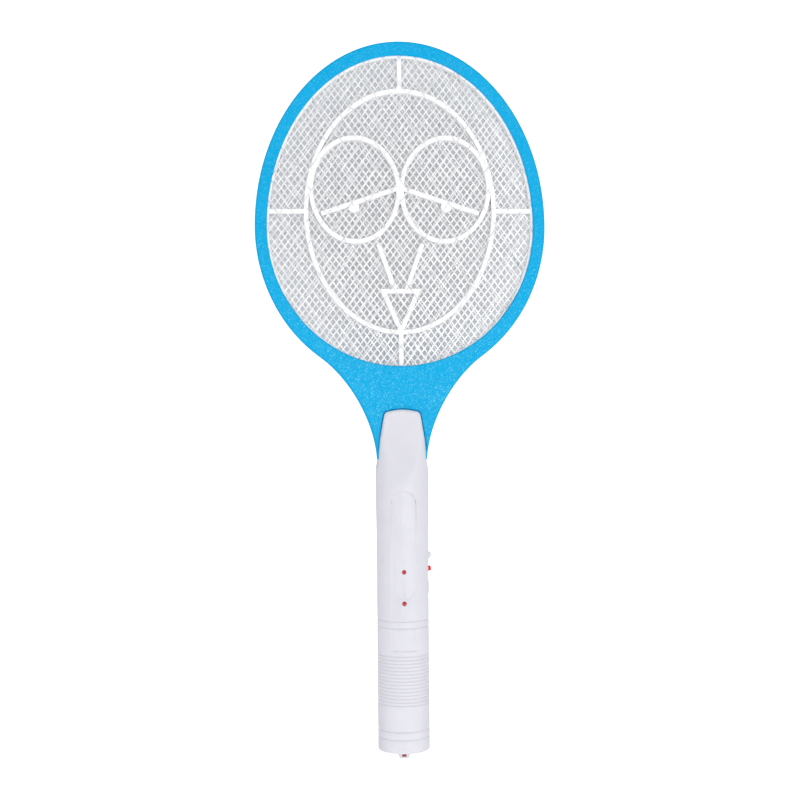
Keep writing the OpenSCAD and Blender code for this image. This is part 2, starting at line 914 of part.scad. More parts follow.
front_frame();
rear_frame();
frame_screws();
front_grid();
centre_grid();
rear_grid();
front_spacer();
rear_spacer();
grid_link();
handle_front_shell();
handle_rear_shell();
handle_screws();
butt_cap();
strap_plug();
circuit_board();
switch_board();
transformer_core();
transformer_coil();
storage_capacitor();
oscillator_transistor();
rectifier_diodes();
resistors();
charge_led();
working_led();
lamp_led();
lamp_hood();
zap_button();
push_switch();
mode_slider();
switch_lever();
slide_switch();
battery();
plug_carrier();
plug_pins();
plug_contacts();
high_voltage_wires();
battery_wires();
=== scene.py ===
"""Electric fly swatter: the looks, built round its CAD frame.

Z runs up the bat from the butt to the head, X to its right and -Y to its front. Plane drawings
are lists of (x, z) points. Sizes in the drawings are in millimetres; a mesh is in metres.
"""
import json
import math

import bmesh
import bpy
from bpy.props import FloatProperty, FloatVectorProperty, PointerProperty
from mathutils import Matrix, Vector
from mathutils.geometry import tessellate_polygon


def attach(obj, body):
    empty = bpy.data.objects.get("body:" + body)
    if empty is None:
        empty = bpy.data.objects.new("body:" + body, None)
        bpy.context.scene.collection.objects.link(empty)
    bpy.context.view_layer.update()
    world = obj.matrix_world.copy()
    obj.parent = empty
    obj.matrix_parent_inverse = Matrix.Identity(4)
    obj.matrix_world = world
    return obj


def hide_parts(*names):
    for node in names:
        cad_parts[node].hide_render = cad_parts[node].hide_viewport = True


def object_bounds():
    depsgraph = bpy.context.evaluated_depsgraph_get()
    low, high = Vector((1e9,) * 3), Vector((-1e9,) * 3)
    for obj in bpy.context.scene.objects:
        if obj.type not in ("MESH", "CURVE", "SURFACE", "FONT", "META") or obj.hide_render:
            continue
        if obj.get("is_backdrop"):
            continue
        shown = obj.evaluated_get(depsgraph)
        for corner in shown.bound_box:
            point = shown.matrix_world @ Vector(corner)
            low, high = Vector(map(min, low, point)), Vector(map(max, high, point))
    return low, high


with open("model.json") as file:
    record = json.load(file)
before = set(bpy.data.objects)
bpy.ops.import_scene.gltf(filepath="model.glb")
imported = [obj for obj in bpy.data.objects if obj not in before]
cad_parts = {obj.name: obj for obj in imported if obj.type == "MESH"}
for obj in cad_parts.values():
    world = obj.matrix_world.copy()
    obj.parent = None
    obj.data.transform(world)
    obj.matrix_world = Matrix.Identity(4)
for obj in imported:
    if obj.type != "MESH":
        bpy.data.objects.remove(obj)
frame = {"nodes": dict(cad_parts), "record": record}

bl_info = {
    "name": "Fly swatter builder",
    "version": (1, 0, 0),
    "blender": (4, 5, 0),
    "location": "3D View > Sidebar > Swatter",
    "description": "Builds an electric fly swatter with its grids, handle and plug",
    "category": "Add Mesh",
}

CAD_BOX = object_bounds()
MM = 0.001

# ---- The bat's sizes in millimetres, the same as in its CAD source ----

HEAD_W = 95.2
HEAD_Z = 342.5
HEAD_UP = 121.4
HEAD_DOWN = 102.4
HALF_T = 8.5
RIM_W = 7.9
RIM_EXTRA = 1.3
WALL = 2.0
GRID_T = 0.5
OPEN_W = HEAD_W - RIM_W
OPEN_UP = HEAD_UP - RIM_W - RIM_EXTRA
OPEN_DOWN = HEAD_DOWN - RIM_W - RIM_EXTRA - 2
RING_SHOW = 1.2
RING_GAP = 0.5
RIB_PLAY = 0.2
RIB_LIFT = 0.015
NECK_ANGLE = math.radians(55.7)
NECK_W = 16.2
NECK_PULL = (16, 23)
TANG_W = 12.5
TANG_Z = 172
SHOULDER_Z = 190
TONGUE_Z = 222.7
TONGUE_HALF = 11.9
TONGUE_CORNER = 3.4
TONGUE_DROP = 1.1
SEAT_Y = 7.5
SEAT_PLAY = 0.8
POCKET_Z = TONGUE_Z + 4

RIM_SCREW_ANGLES = (-38, 12, 51, 90, 129, 168, 218)
RIM_SCREW = {"shank": 1, "head": 2, "height": 1.3, "top": 8.3}
NECK_SCREW = (0, 208)
LOW_SCREWS = ((0, 181), (-9, 36), (9, 36))
TONGUE_HEAD = {"shank": 1.2, "head": 2.4, "height": 1.3, "top": 10.3}
HANDLE_HEAD = {"shank": 1.2, "head": 2.4, "height": 1.8, "top": 13.3}
NECK_SEAT_Y = 9
HANDLE_SEAT_Y = 11.5

GRIP_R = 17.0
TOP_R = 17.3
INNER_R = 15.0
CONE_Z = (140, 160)
FACET_Z = 177.4
FACET_Y = 10.6
GROOVE_D = 0.45
GROOVE_HALF = 0.85
BAND_GROOVES = (80.6, 85)
CAP_GROOVE = 8.1
GRIP_RIBS = 15
RIB_START = 30.3
RIB_PITCH = 2.28
PANEL = {"width": 15.7, "low": 99.3, "high": 169.6}
BADGE = {"width": 18, "low": 65.9, "high": 79.3}
EMBOSS = 0.35
INLAY_SLOPE = 0.4

BUTT_Z = -1
CAP_Z = 13.2
SPIGOT_Z = 7
SPIGOT_R = 14.8
SPIGOT_WALL = 1.7
PIN_X = 9.5
PIN_R = 2
BUTTON_Z = 117.9
SLIDER_Z = 105.6
LED_ZS = {"charge": 117.2, "working": 96.8}
LED_R = 1.3
LAMP_Z = (123.6, 128.7)
LAMP_X = 16.9

THUMB_SLOT = {"half": 3, "low": 31.5, "high": 57.5}
PIN_HOLE_R = 2.3
SCREW_PLAY = 0.2
DOT_AT = (30.5, 355.7)

# The stage's sizes in metres: its half width, its edges, its bend and the camera's side step
STAGE_HALF = 0.5
FLOOR_FRONT = -1.4
WALL_TOP = 0.62
WALL_BEND = 0.05
CAMERA_ASIDE = -0.00085
# The painted shade on the wall behind the head's opening: an egg where the wall's glow fades, in
# metres
SHADE = {"x": 0.0022, "z": 0.3468, "half": 0.0906, "up": 0.1154, "down": 0.0946}

LATHE_STEPS = 192
SHELL_CREASE = 15
CREASE_SPAN = 1.6
TONGUE_ROUND = 1.0


class SwatterSizes(bpy.types.PropertyGroup):
    """Sizes of the visible detail."""

    edge_round: FloatProperty(
        name="Rim edge", description="Radius of the rim's outer edge",
        default=0.0017, unit="LENGTH")
    lip_round: FloatProperty(
        name="Lip edge", description="Radius of the edge round the opening",
        default=0.0011, unit="LENGTH")
    rib_width: FloatProperty(
        name="Rib width", description="Width of the ribs that keep the grids apart",
        default=0.003, unit="LENGTH")
    rib_round: FloatProperty(
        name="Rib edge", description="Radius of the ribs' edges",
        default=0.0006, unit="LENGTH")
    centre_pitch: FloatVectorProperty(
        name="Centre grid", description="Width and height of one opening of the centre grid",
        size=2, default=(0.00446, 0.0059), unit="LENGTH")
    centre_strand: FloatProperty(
        name="Centre strand", description="Width of the centre grid's strands",
        default=0.00085, unit="LENGTH")
    outer_pitch: FloatVectorProperty(
        name="Outer grids", description="Width and height of one opening of the outer grids",
        size=2, default=(0.0106, 0.0157), unit="LENGTH")
    outer_strand: FloatProperty(
        name="Outer strand", description="Width of the outer grids' strands",
        default=0.0005, unit="LENGTH")


class SwatterColours(bpy.types.PropertyGroup):
    """Colours of the finishes that show."""

    frame: FloatVectorProperty(
        name="Frame", description="Colour of the head's frame",
        subtype="COLOR", size=3, min=0, max=1, default=(0.001, 0.36, 0.68))
    frame_speck: FloatVectorProperty(
        name="Frame grain", description="Paler colour on the crests of the frame's grain",
        subtype="COLOR", size=3, min=0, max=1, default=(0.09, 0.5, 0.76))
    shell: FloatVectorProperty(
        name="Handle", description="Colour of the handle's shells",
        subtype="COLOR", size=3, min=0, max=1, default=(0.625, 0.62, 0.675))
    ribs: FloatVectorProperty(
        name="Ribs", description="Colour of the ribs between the grids",
        subtype="COLOR", size=3, min=0, max=1, default=(0.95, 0.95, 0.96))
    metal: FloatVectorProperty(
        name="Centre grid", description="Colour of the charged grid's bright metal",
        subtype="COLOR", size=3, min=0, max=1, default=(0.96, 0.96, 0.965))
    # The outer grids' metal is kept darker than the centre grid's: painted shade, so their strands
    # show as grey lines over the white ribs.
    outer_metal: FloatVectorProperty(
        name="Outer grids", description="Colour of the outer grids' duller metal",
        subtype="COLOR", size=3, min=0, max=1, default=(0.88, 0.885, 0.89))
    red: FloatVectorProperty(
        name="Button", description="Colour of the push button",
        subtype="COLOR", size=3, min=0, max=1, default=(0.9, 0.006, 0.001))


class SwatterStage(bpy.types.PropertyGroup):
    """The camera, the floor and the light."""

    distance: FloatProperty(
        name="Camera distance", description="From the camera to the bat's middle plane",
        default=0.95, unit="LENGTH")
    view_width: FloatProperty(
        name="View width", description="Width of the view at the bat's middle plane",
        default=0.528, unit="LENGTH")
    eye_z: FloatProperty(
        name="Camera height", description="Height of the camera above the origin",
        default=0.229, unit="LENGTH")
    roll: FloatProperty(
        name="Camera roll", description="Turn of the camera about its own line of sight",
        default=math.radians(0.47), subtype="ANGLE")
    around: FloatProperty(
        name="Camera round", description="How far to the left of straight ahead the camera stands",
        default=math.radians(3.4), subtype="ANGLE")
    wall_gap: FloatProperty(
        name="Wall gap", description="From the back of the rim to the wall behind it",
        default=0.028, unit="LENGTH")
    floor_z: FloatProperty(
        name="Floor", description="Height of the floor, which the drawn-out plug clears",
        default=-0.03, unit="LENGTH")
    key: FloatProperty(
        name="Key light", description="Power of the large light at the lower right",
        default=3.2, min=0, subtype="POWER")
    room: FloatProperty(
        name="Room light", description="Strength of the light from all round",
        default=1.0, min=0)
    wall_glow: FloatProperty(
        name="Wall glow", description="Light that the wall gives out, as a lit screen does",
        default=0.7, min=0)
    floor_glow: FloatProperty(
        name="Floor glow", description="Light that the floor throws up on the bat",
        default=0.8, min=0)
    # The glow that is left in the painted shade behind the head.
    wall_shade: FloatProperty(
        name="Wall shade", description="What is left of the glow behind the head",
        default=0.05, min=0)


# ---- Plane drawings: lists of (x, z) points ----

def egg(width, up, down, steps=180):
    """An egg about the head's centre, with its own reach up and down."""
    points = []
    for i in range(steps):
        a = 2 * math.pi * i / steps
        reach = up if math.sin(a) > 0 else down
        points.append((width * math.cos(a), HEAD_Z + reach * math.sin(a)))
    return points


def opening(grow):
    """The head's opening, made larger by grow."""
    return egg(OPEN_W + grow, OPEN_UP + grow, OPEN_DOWN + grow)


def bezier_at(p, t):
    """The point at t on the curve with the four control points p."""
    weights = ((1 - t) ** 3, 3 * t * (1 - t) ** 2, 3 * t * t * (1 - t), t ** 3)
    return tuple(sum(w * q[axis] for w, q in zip(weights, p)) for axis in (0, 1))


def neck_edge(inset, steps=24):
    """The neck's right edge, from the head's oval down to the shoulder."""
    width, down = HEAD_W - inset, HEAD_DOWN - inset
    sine, cosine = math.sin(NECK_ANGLE), math.cos(NECK_ANGLE)
    start = (width * cosine, HEAD_Z - down * sine)
    slope = width * sine / (down * cosine)
    foot = (NECK_W - inset, SHOULDER_Z)
    controls = (
        start,
        (start[0] - NECK_PULL[0] * slope, start[1] - NECK_PULL[0]),
        (foot[0] + 0.06 * NECK_PULL[1], foot[1] + NECK_PULL[1]),
        foot,
    )
    return [bezier_at(controls, i / steps) for i in range(steps + 1)]


def bat_outline(inset, steps=144):
    """The head with its neck and tang, drawn in by inset all round, from the right neck on."""
    width = HEAD_W - inset
    sweep = math.pi + 2 * NECK_ANGLE
    crown = []
    for i in range(steps):
        a = -NECK_ANGLE + sweep * i / steps
        reach = (HEAD_UP if math.sin(a) > 0 else HEAD_DOWN) - inset
        crown.append((width * math.cos(a), HEAD_Z + reach * math.sin(a)))
    right = neck_edge(inset)
    half = TANG_W - inset
    tang = [(-half, SHOULDER_Z), (-half, TANG_Z + inset), (half, TANG_Z + inset), (half, SHOULDER_Z)]
    return crown + mirrored(right) + tang + right[:0:-1]


def mirrored(points):
    """The same points on the other side of the bat's middle line."""
    return [(-x, z) for x, z in points]


def arc(centre, radius, start, end, steps):
    """Points on a round arc, its angles in degrees."""
    points = []
    for i in range(steps + 1):
        a = math.radians(start + (end - start) * i / steps)
        points.append((centre[0] + radius * math.cos(a), centre[1] + radius * math.sin(a)))
    return points


def tongue_outline(grow):
    """The handle's outline from below its shoulder up to the tongue's top edge."""
    corner = (TONGUE_HALF + grow - TONGUE_CORNER, TONGUE_Z + grow - TONGUE_DROP - TONGUE_CORNER)
    side = [(GRIP_R + 1, SHOULDER_Z - 30), (GRIP_R + 1, SHOULDER_Z - 7),
            (GRIP_R + grow, SHOULDER_Z - 5), (15.9 + grow, SHOULDER_Z + 0.3)]
    side += [(15.6 + grow, 195), (14.8 + grow, 202.4), (12.7 + grow, 214.6)]
    side += arc(corner, TONGUE_CORNER, 10, 90, 8)
    crown = []
    for i in range(1, 12):
        u = 1 - i / 6
        crown.append((corner[0] * u, TONGUE_Z + grow - TONGUE_DROP * u * u))
    return side + crown + mirrored(side)[::-1]


def stadium(width, low, high):
    """A slot shape that stands upright, with round ends."""
    radius = width / 2
    return (arc((0, high - radius), radius, 0, 180, 24)
            + arc((0, low + radius), radius, 180, 360, 24))


def rounded_block(width, low, high, radius):
    """A rectangle about x = 0 with round corners."""
    half = width / 2 - radius
    corners = ((half, high - radius, 0), (-half, high - radius, 90),
               (-half, low + radius, 180), (half, low + radius, 270))
    points = []
    for x, z, turn in corners:
        points += arc((x, z), radius, turn, turn + 90, 6)
    return points


def panel_outline(grow):
    """The long panel on the handle's front, made larger by grow."""
    return stadium(PANEL["width"] + 2 * grow, PANEL["low"] - grow, PANEL["high"] + grow)


def badge_outline(grow):
    """The small blank badge under the panel, made larger by grow."""
    return rounded_block(
        BADGE["width"] + 2 * grow, BADGE["low"] - grow, BADGE["high"] + grow, 1.2 + grow)


def rim_screw_at(degrees):
    """Where a rim screw stands, on an egg inside the rim."""
    a = math.radians(degrees)
    up = HEAD_UP - (RIM_W + RIM_EXTRA) / 2 - 0.9
    reach = up if math.sin(a) > 0 else HEAD_DOWN - RIM_W / 2
    return ((HEAD_W - RIM_W / 2 - 0.9) * math.cos(a), HEAD_Z + reach * math.sin(a))


# ---- Building meshes ----

class Skin:
    """The points and faces of one piece, in millimetres, until they become a mesh."""

    def __init__(self):
        self.points = []
        self.faces = []

    def ring(self, points):
        """Adds a ring of points and returns their numbers."""
        first = len(self.points)
        self.points += [Vector(p) for p in points]
        return list(range(first, first + len(points)))

    def join(self, ring_a, ring_b, closed=True):
        """Quads between two rings of as many points."""
        count = len(ring_a)
        for i in range(count if closed else count - 1):
            j = (i + 1) % count
            self.faces.append((ring_a[i], ring_a[j], ring_b[j], ring_b[i]))

    def loft(self, rings, closed=True):
        """Skins a row of rings and returns the first and the last."""
        made = [self.ring(points) for points in rings]
        for ring_a, ring_b in zip(made, made[1:]):
            self.join(ring_a, ring_b, closed)
        return made[0], made[-1]

    def fill(self, *rings):
        """Fills the flat area inside the first ring and outside the others."""
        loops = [[self.points[i] for i in ring] for ring in rings]
        numbers = [i for ring in rings for i in ring]
        for face in tessellate_polygon(loops):
            self.faces.append(tuple(numbers[i] for i in face))

    def build(self, name, angle=30):
        """The finished object, closed, with its faces outward and its soft edges smooth."""
        mesh = bpy.data.meshes.new(name)
        mesh.from_pydata([p * MM for p in self.points], [], self.faces)
        return clean_object(name, mesh, angle)


def clean_object(name, mesh, angle=30):
    """Welds and smooths a mesh, and returns a new object that shows it."""
    work = bmesh.new()
    work.from_mesh(mesh)
    bmesh.ops.remove_doubles(work, verts=work.verts, dist=2e-6)
    bmesh.ops.dissolve_degenerate(work, edges=work.edges, dist=1e-6)
    bmesh.ops.recalc_face_normals(work, faces=work.faces)
    work.to_mesh(mesh)
    work.free()
    smooth(mesh, angle)
    made = bpy.data.objects.new(name, mesh)
    bpy.context.scene.collection.objects.link(made)
    return made


def smooth(mesh, angle):
    """Shades a mesh smooth, but for edges sharper than the angle in degrees."""
    mesh.shade_smooth()
    mesh.set_sharp_from_angle(angle=math.radians(angle))


def applied(piece, angle=30):
    """Turns a piece's modifiers into its mesh."""
    graph = bpy.context.evaluated_depsgraph_get()
    mesh = bpy.data.meshes.new_from_object(piece.evaluated_get(graph))
    piece.modifiers.clear()
    old = piece.data
    piece.data = mesh
    mesh.name = piece.name
    bpy.data.meshes.remove(old)
    smooth(mesh, angle)
    return piece


def carved(piece, *tools, operation="DIFFERENCE", angle=30):
    """Cuts the tools from a piece, or joins or crosses them with it, and uses them up."""
    for tool in tools:
        change = piece.modifiers.new("carve", "BOOLEAN")
        change.operation = operation
        change.solver = "EXACT"
        change.object = tool
    applied(piece, angle)
    for tool in tools:
        mesh = tool.data
        bpy.data.objects.remove(tool)
        bpy.data.meshes.remove(mesh)
    return piece


def evened(piece, angle):
    """Lets the broad faces rule the shading along the soft edges."""
    change = piece.modifiers.new("even", "WEIGHTED_NORMAL")
    change.keep_sharp = True
    return applied(piece, angle)


def edges_rounded(piece, radius, steps=2, angle=40):
    """Rounds a piece's sharp edges."""
    change = piece.modifiers.new("round", "BEVEL")
    change.width = radius
    change.segments = steps
    change.limit_method = "ANGLE"
    change.angle_limit = math.radians(40)
    change.use_clamp_overlap = True
    change.miter_outer = "MITER_ARC"
    return applied(piece, angle)


def at_depth(points, y):
    """A plane drawing's points at one depth."""
    return [(x, y, z) for x, z in points]


def prism(name, outline, y0, y1):
    """A plane drawing given thickness, from y0 to y1."""
    skin = Skin()
    first, last = skin.loft([at_depth(outline, y0), at_depth(outline, y1)])
    skin.fill(first)
    skin.fill(last)
    return skin.build(name)


def box(name, x, y, z):
    """A plain block between two limits each way."""
    return prism(name, [(x[0], z[0]), (x[1], z[0]), (x[1], z[1]), (x[0], z[1])], y[0], y[1])


def rod(name, at, y0, y1, radius, steps=32):
    """A round rod along Y at a point of the plane drawing."""
    return prism(name, arc(at, radius, 0, 360 - 360 / steps, steps - 1), y0, y1)


def rod_up(name, at, z0, z1, radius, steps=32):
    """A round rod along Z at a point of the plan."""
    skin = Skin()
    plan = arc(at, radius, 0, 360 - 360 / steps, steps - 1)
    first, last = skin.loft([[(x, y, z) for x, y in plan] for z in (z0, z1)])
    skin.fill(first)
    skin.fill(last)
    return skin.build(name)


def lathe(name, profile, steps=LATHE_STEPS, angle=30, place=None):
    """A profile of (radius, height) points turned about its axis, and set where place puts it."""
    place = place or (lambda x, y, z: (x, y, z))
    skin = Skin()
    rings = []
    for radius, height in profile:
        ring = []
        for i in range(steps):
            a = 2 * math.pi * (i + 0.5) / steps
            ring.append(place(radius * math.cos(a), radius * math.sin(a), height))
        rings.append(ring)
    skin.loft(rings)
    return skin.build(name, angle)


def cad_copy(name, node):
    """A welded copy of a CAD node's mesh, as a new piece."""
    piece = clean_object(name, frame["nodes"][node].data.copy())
    work = bmesh.new()
    work.from_mesh(piece.data)
    bmesh.ops.dissolve_limit(
        work, angle_limit=math.radians(1), verts=work.verts, edges=work.edges)
    work.to_mesh(piece.data)
    work.free()
    piece.data.materials.clear()
    return piece


def hand_over(piece, body, slot, *nodes, look=None):
    """Gives a piece its finish and its body, and hides the CAD nodes that it stands for."""
    piece.data.materials.clear()
    piece.data.materials.append(finish(look or slot))
    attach(piece, body)
    if nodes:
        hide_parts(*nodes)
    return piece


# ---- Node trees ----

def add_node(tree, kind, inputs=None, **settings):
    """A node with its settings made and its inputs set or linked."""
    made = tree.nodes.new(kind)
    for key, value in settings.items():
        setattr(made, key, value)
    for key, value in (inputs or {}).items():
        socket = made.inputs[key]
        if isinstance(value, bpy.types.NodeSocket):
            tree.links.new(value, socket)
        else:
            socket.default_value = value
    return made


def maths(tree, operation, *values):
    """The result of a sum on values or sockets."""
    return add_node(tree, "ShaderNodeMath", dict(enumerate(values)), operation=operation).outputs[0]


def new_geometry_tree(name, sizes):
    """An empty geometry tree with a geometry input, sizes in and a material in."""
    tree = bpy.data.node_groups.new(name, "GeometryNodeTree")
    tree.is_modifier = True
    face = tree.interface
    face.new_socket("Geometry", in_out="INPUT", socket_type="NodeSocketGeometry")
    for size in sizes:
        face.new_socket(size, in_out="INPUT", socket_type="NodeSocketFloat")
    face.new_socket("Material", in_out="INPUT", socket_type="NodeSocketMaterial")
    face.new_socket("Geometry", in_out="OUTPUT", socket_type="NodeSocketGeometry")
    return tree, tree.nodes.new("NodeGroupInput").outputs


def close_tree(tree, geometry, given):
    """Ends a geometry tree in real geometry with its material."""
    real = add_node(tree, "GeometryNodeRealizeInstances", {"Geometry": geometry})
    dressed = add_node(tree, "GeometryNodeSetMaterial", {
        "Geometry": real.outputs[0], "Material": given["Material"]})
    add_node(tree, "NodeGroupOutput", {"Geometry": dressed.outputs[0]})
    return tree


def grown(name, points, edges, tree, sizes, slot, angle=30):
    """A plain mesh that a geometry tree makes from a drawing's points and edges."""
    mesh = bpy.data.meshes.new(name)
    mesh.from_pydata(points, edges, [])
    piece = bpy.data.objects.new(name, mesh)
    bpy.context.scene.collection.objects.link(piece)
    growth = piece.modifiers.new("grow", "NODES")
    growth.node_group = tree
    values = dict(sizes, Material=finish(slot))
    for item in tree.interface.items_tree:
        if item.item_type == "SOCKET" and item.in_out == "INPUT" and item.name in values:
            growth[item.identifier] = values[item.name]
    return applied(piece, angle)


def combine(tree, x=0.0, y=0.0, z=0.0):
    """A vector from three values or sockets."""
    return add_node(tree, "ShaderNodeCombineXYZ", {"X": x, "Y": y, "Z": z}).outputs[0]


def stood_up(tree, flat, depth):
    """Geometry drawn flat, stood up to face the front at a depth."""
    return add_node(tree, "GeometryNodeTransform", {
        "Geometry": flat, "Rotation": (math.pi / 2, 0, 0),
        "Translation": combine(tree, y=depth)}).outputs[0]


def swept(tree, curves, width, thickness, corner):
    """Curves in the flat given a block section with round corners."""
    upright = add_node(tree, "GeometryNodeSetCurveNormal", {"Curve": curves}, mode="Z_UP")
    section = add_node(tree, "GeometryNodeCurvePrimitiveQuadrilateral", {
        "Width": width, "Height": thickness})
    rounded = add_node(tree, "GeometryNodeFilletCurve", {
        "Curve": section.outputs[0], "Count": 3, "Radius": corner}, mode="POLY")
    return add_node(tree, "GeometryNodeCurveToMesh", {
        "Curve": upright.outputs[0], "Profile Curve": rounded.outputs[0],
        "Fill Caps": True}).outputs[0]


def rib_tree():
    """Ribs of one section along every line of a drawing."""
    tree, given = new_geometry_tree("ribs_on_lines", ["Width", "Thickness", "Corner", "Depth"])
    curves = add_node(tree, "GeometryNodeMeshToCurve", {"Mesh": given["Geometry"]})
    ribs = swept(tree, curves.outputs[0], given["Width"], given["Thickness"], given["Corner"])
    return close_tree(tree, stood_up(tree, ribs, given["Depth"]), given)


def lattice_tree():
    """Two families of parallel strands, cut to an egg: a grid of stretched sheet."""
    sizes = ["Opening Width", "Opening Height", "Strand", "Thickness", "Depth",
             "Half Width", "Reach Up", "Reach Down", "Centre Height"]
    tree, given = new_geometry_tree("diamond_lattice", sizes)
    reach = 0.16
    lean = maths(tree, "ARCTAN2", given["Opening Height"], given["Opening Width"])
    step = maths(tree, "MULTIPLY", given["Opening Width"], maths(tree, "SINE", lean))
    rows_each_side = maths(tree, "CEIL", maths(tree, "DIVIDE", reach, step))
    count = maths(tree, "ADD", maths(tree, "MULTIPLY", rows_each_side, 2.0), 1.0)
    steps_down = maths(tree, "DIVIDE", maths(tree, "SUBTRACT", 1.0, count), 2.0)
    low = maths(tree, "MULTIPLY", steps_down, step)
    rows = add_node(tree, "GeometryNodeMeshLine", {
        "Count": count, "Start Location": combine(tree, y=low),
        "Offset": combine(tree, y=step)}, mode="OFFSET")
    line = add_node(tree, "GeometryNodeCurvePrimitiveLine", {
        "Start": (-reach, 0, 0), "End": (reach, 0, 0)})
    fine = add_node(tree, "GeometryNodeResampleCurve", {
        "Curve": line.outputs[0], "Length": 0.0005}, mode="LENGTH")
    family = add_node(tree, "GeometryNodeInstanceOnPoints", {
        "Points": rows.outputs[0], "Instance": fine.outputs[0]})
    real = add_node(tree, "GeometryNodeRealizeInstances", {"Geometry": family.outputs[0]})
    crossed = add_node(tree, "GeometryNodeJoinGeometry")
    other_lean = maths(tree, "MULTIPLY", lean, -1.0)
    for turn, lift in ((lean, 0.00001), (other_lean, -0.00001)):
        turned = add_node(tree, "GeometryNodeTransform", {
            "Geometry": real.outputs[0], "Rotation": combine(tree, z=turn),
            "Translation": (0, 0, lift)})
        tree.links.new(turned.outputs[0], crossed.inputs[0])
    place = add_node(tree, "ShaderNodeSeparateXYZ", {
        "Vector": add_node(tree, "GeometryNodeInputPosition").outputs[0]}).outputs
    above = maths(tree, "GREATER_THAN", place["Y"], 0.0)
    high = add_node(tree, "ShaderNodeMix", {
        0: above, 2: given["Reach Down"], 3: given["Reach Up"]}).outputs[0]
    across = maths(tree, "POWER", maths(tree, "DIVIDE", place["X"], given["Half Width"]), 2.0)
    along = maths(tree, "POWER", maths(tree, "DIVIDE", place["Y"], high), 2.0)
    outside = maths(tree, "GREATER_THAN", maths(tree, "ADD", across, along), 1.0)
    inside = add_node(tree, "GeometryNodeDeleteGeometry", {
        "Geometry": crossed.outputs[0], "Selection": outside}, domain="POINT")
    length = add_node(tree, "GeometryNodeSplineLength").outputs["Length"]
    long = add_node(tree, "GeometryNodeDeleteGeometry", {
        "Geometry": inside.outputs[0],
        "Selection": maths(tree, "LESS_THAN", length, 0.002)}, domain="CURVE")
    ends = add_node(tree, "GeometryNodeResampleCurve", {
        "Curve": long.outputs[0], "Count": 2}, mode="COUNT")
    flat = swept(tree, ends.outputs[0], given["Strand"], given["Thickness"], 0.00008)
    centred = add_node(tree, "GeometryNodeTransform", {
        "Geometry": flat, "Translation": combine(tree, y=given["Centre Height"])})
    return close_tree(tree, stood_up(tree, centred.outputs[0], given["Depth"]), given)


def screw_tree():
    """A cross-recessed screw at every point of a drawing."""
    tree, given = new_geometry_tree("screws_at_points", ["Shank", "Head", "Height", "Length"])
    head = add_node(tree, "GeometryNodeMeshCone", {
        "Vertices": 32, "Radius Top": maths(tree, "MULTIPLY", given["Head"], 0.72),
        "Radius Bottom": given["Head"], "Depth": given["Height"]}, fill_type="NGON")
    slot_half = maths(tree, "MULTIPLY", given["Height"], 0.9)
    recess = add_node(tree, "GeometryNodeJoinGeometry")
    for long_axis in ("X", "Y"):
        sizes = {"X": maths(tree, "MULTIPLY", given["Head"], 0.22),
                 "Y": maths(tree, "MULTIPLY", given["Head"], 0.22), "Z": given["Height"]}
        sizes[long_axis] = maths(tree, "MULTIPLY", given["Head"], 1.1)
        size = add_node(tree, "ShaderNodeCombineXYZ", sizes).outputs[0]
        bar = add_node(tree, "GeometryNodeMeshCube", {"Size": size})
        raised = add_node(tree, "GeometryNodeTransform", {
            "Geometry": bar.outputs[0], "Translation": combine(tree, z=slot_half)})
        tree.links.new(raised.outputs[0], recess.inputs[0])
    cut = add_node(tree, "GeometryNodeMeshBoolean", operation="DIFFERENCE", solver="EXACT")
    tree.links.new(head.outputs["Mesh"], cut.inputs["Mesh 1"])
    tree.links.new(recess.outputs[0], cut.inputs["Mesh 2"])
    shank = add_node(tree, "GeometryNodeMeshCylinder", {
        "Vertices": 20, "Radius": given["Shank"], "Depth": given["Length"]}, fill_type="NGON")
    below = add_node(tree, "GeometryNodeTransform", {
        "Geometry": shank.outputs["Mesh"], "Translation": combine(
            tree, z=maths(tree, "MULTIPLY", given["Length"], -0.5))})
    screw = add_node(tree, "GeometryNodeJoinGeometry")
    tree.links.new(cut.outputs[0], screw.inputs[0])
    tree.links.new(below.outputs[0], screw.inputs[0])
    upright = add_node(tree, "GeometryNodeTransform", {
        "Geometry": screw.outputs[0], "Rotation": (-math.pi / 2, 0, 0)})
    placed = add_node(tree, "GeometryNodeInstanceOnPoints", {
        "Points": given["Geometry"], "Instance": upright.outputs[0]})
    return close_tree(tree, placed.outputs[0], given)


def tree_named(name, make):
    """A node tree that is made once and used again."""
    return bpy.data.node_groups.get(name) or make()


# ---- Effects that finishes share ----

def new_effect(name, sizes, results):
    """An empty shader group with a place in, sizes in and results out."""
    tree = bpy.data.node_groups.new(name, "ShaderNodeTree")
    face = tree.interface
    face.new_socket("Place", in_out="INPUT", socket_type="NodeSocketVector")
    for size, value in sizes.items():
        face.new_socket(size, in_out="INPUT", socket_type="NodeSocketFloat").default_value = value
    for result in results:
        face.new_socket(result, in_out="OUTPUT", socket_type="NodeSocketFloat")
    return tree, tree.nodes.new("NodeGroupInput").outputs, tree.nodes.new("NodeGroupOutput").inputs


def spread(tree, value, low, high, out_low=0.0, out_high=1.0):
    """A value's span stretched to another span and held there."""
    return add_node(tree, "ShaderNodeMapRange", {
        "Value": value, "From Min": low, "From Max": high,
        "To Min": out_low, "To Max": out_high}).outputs[0]


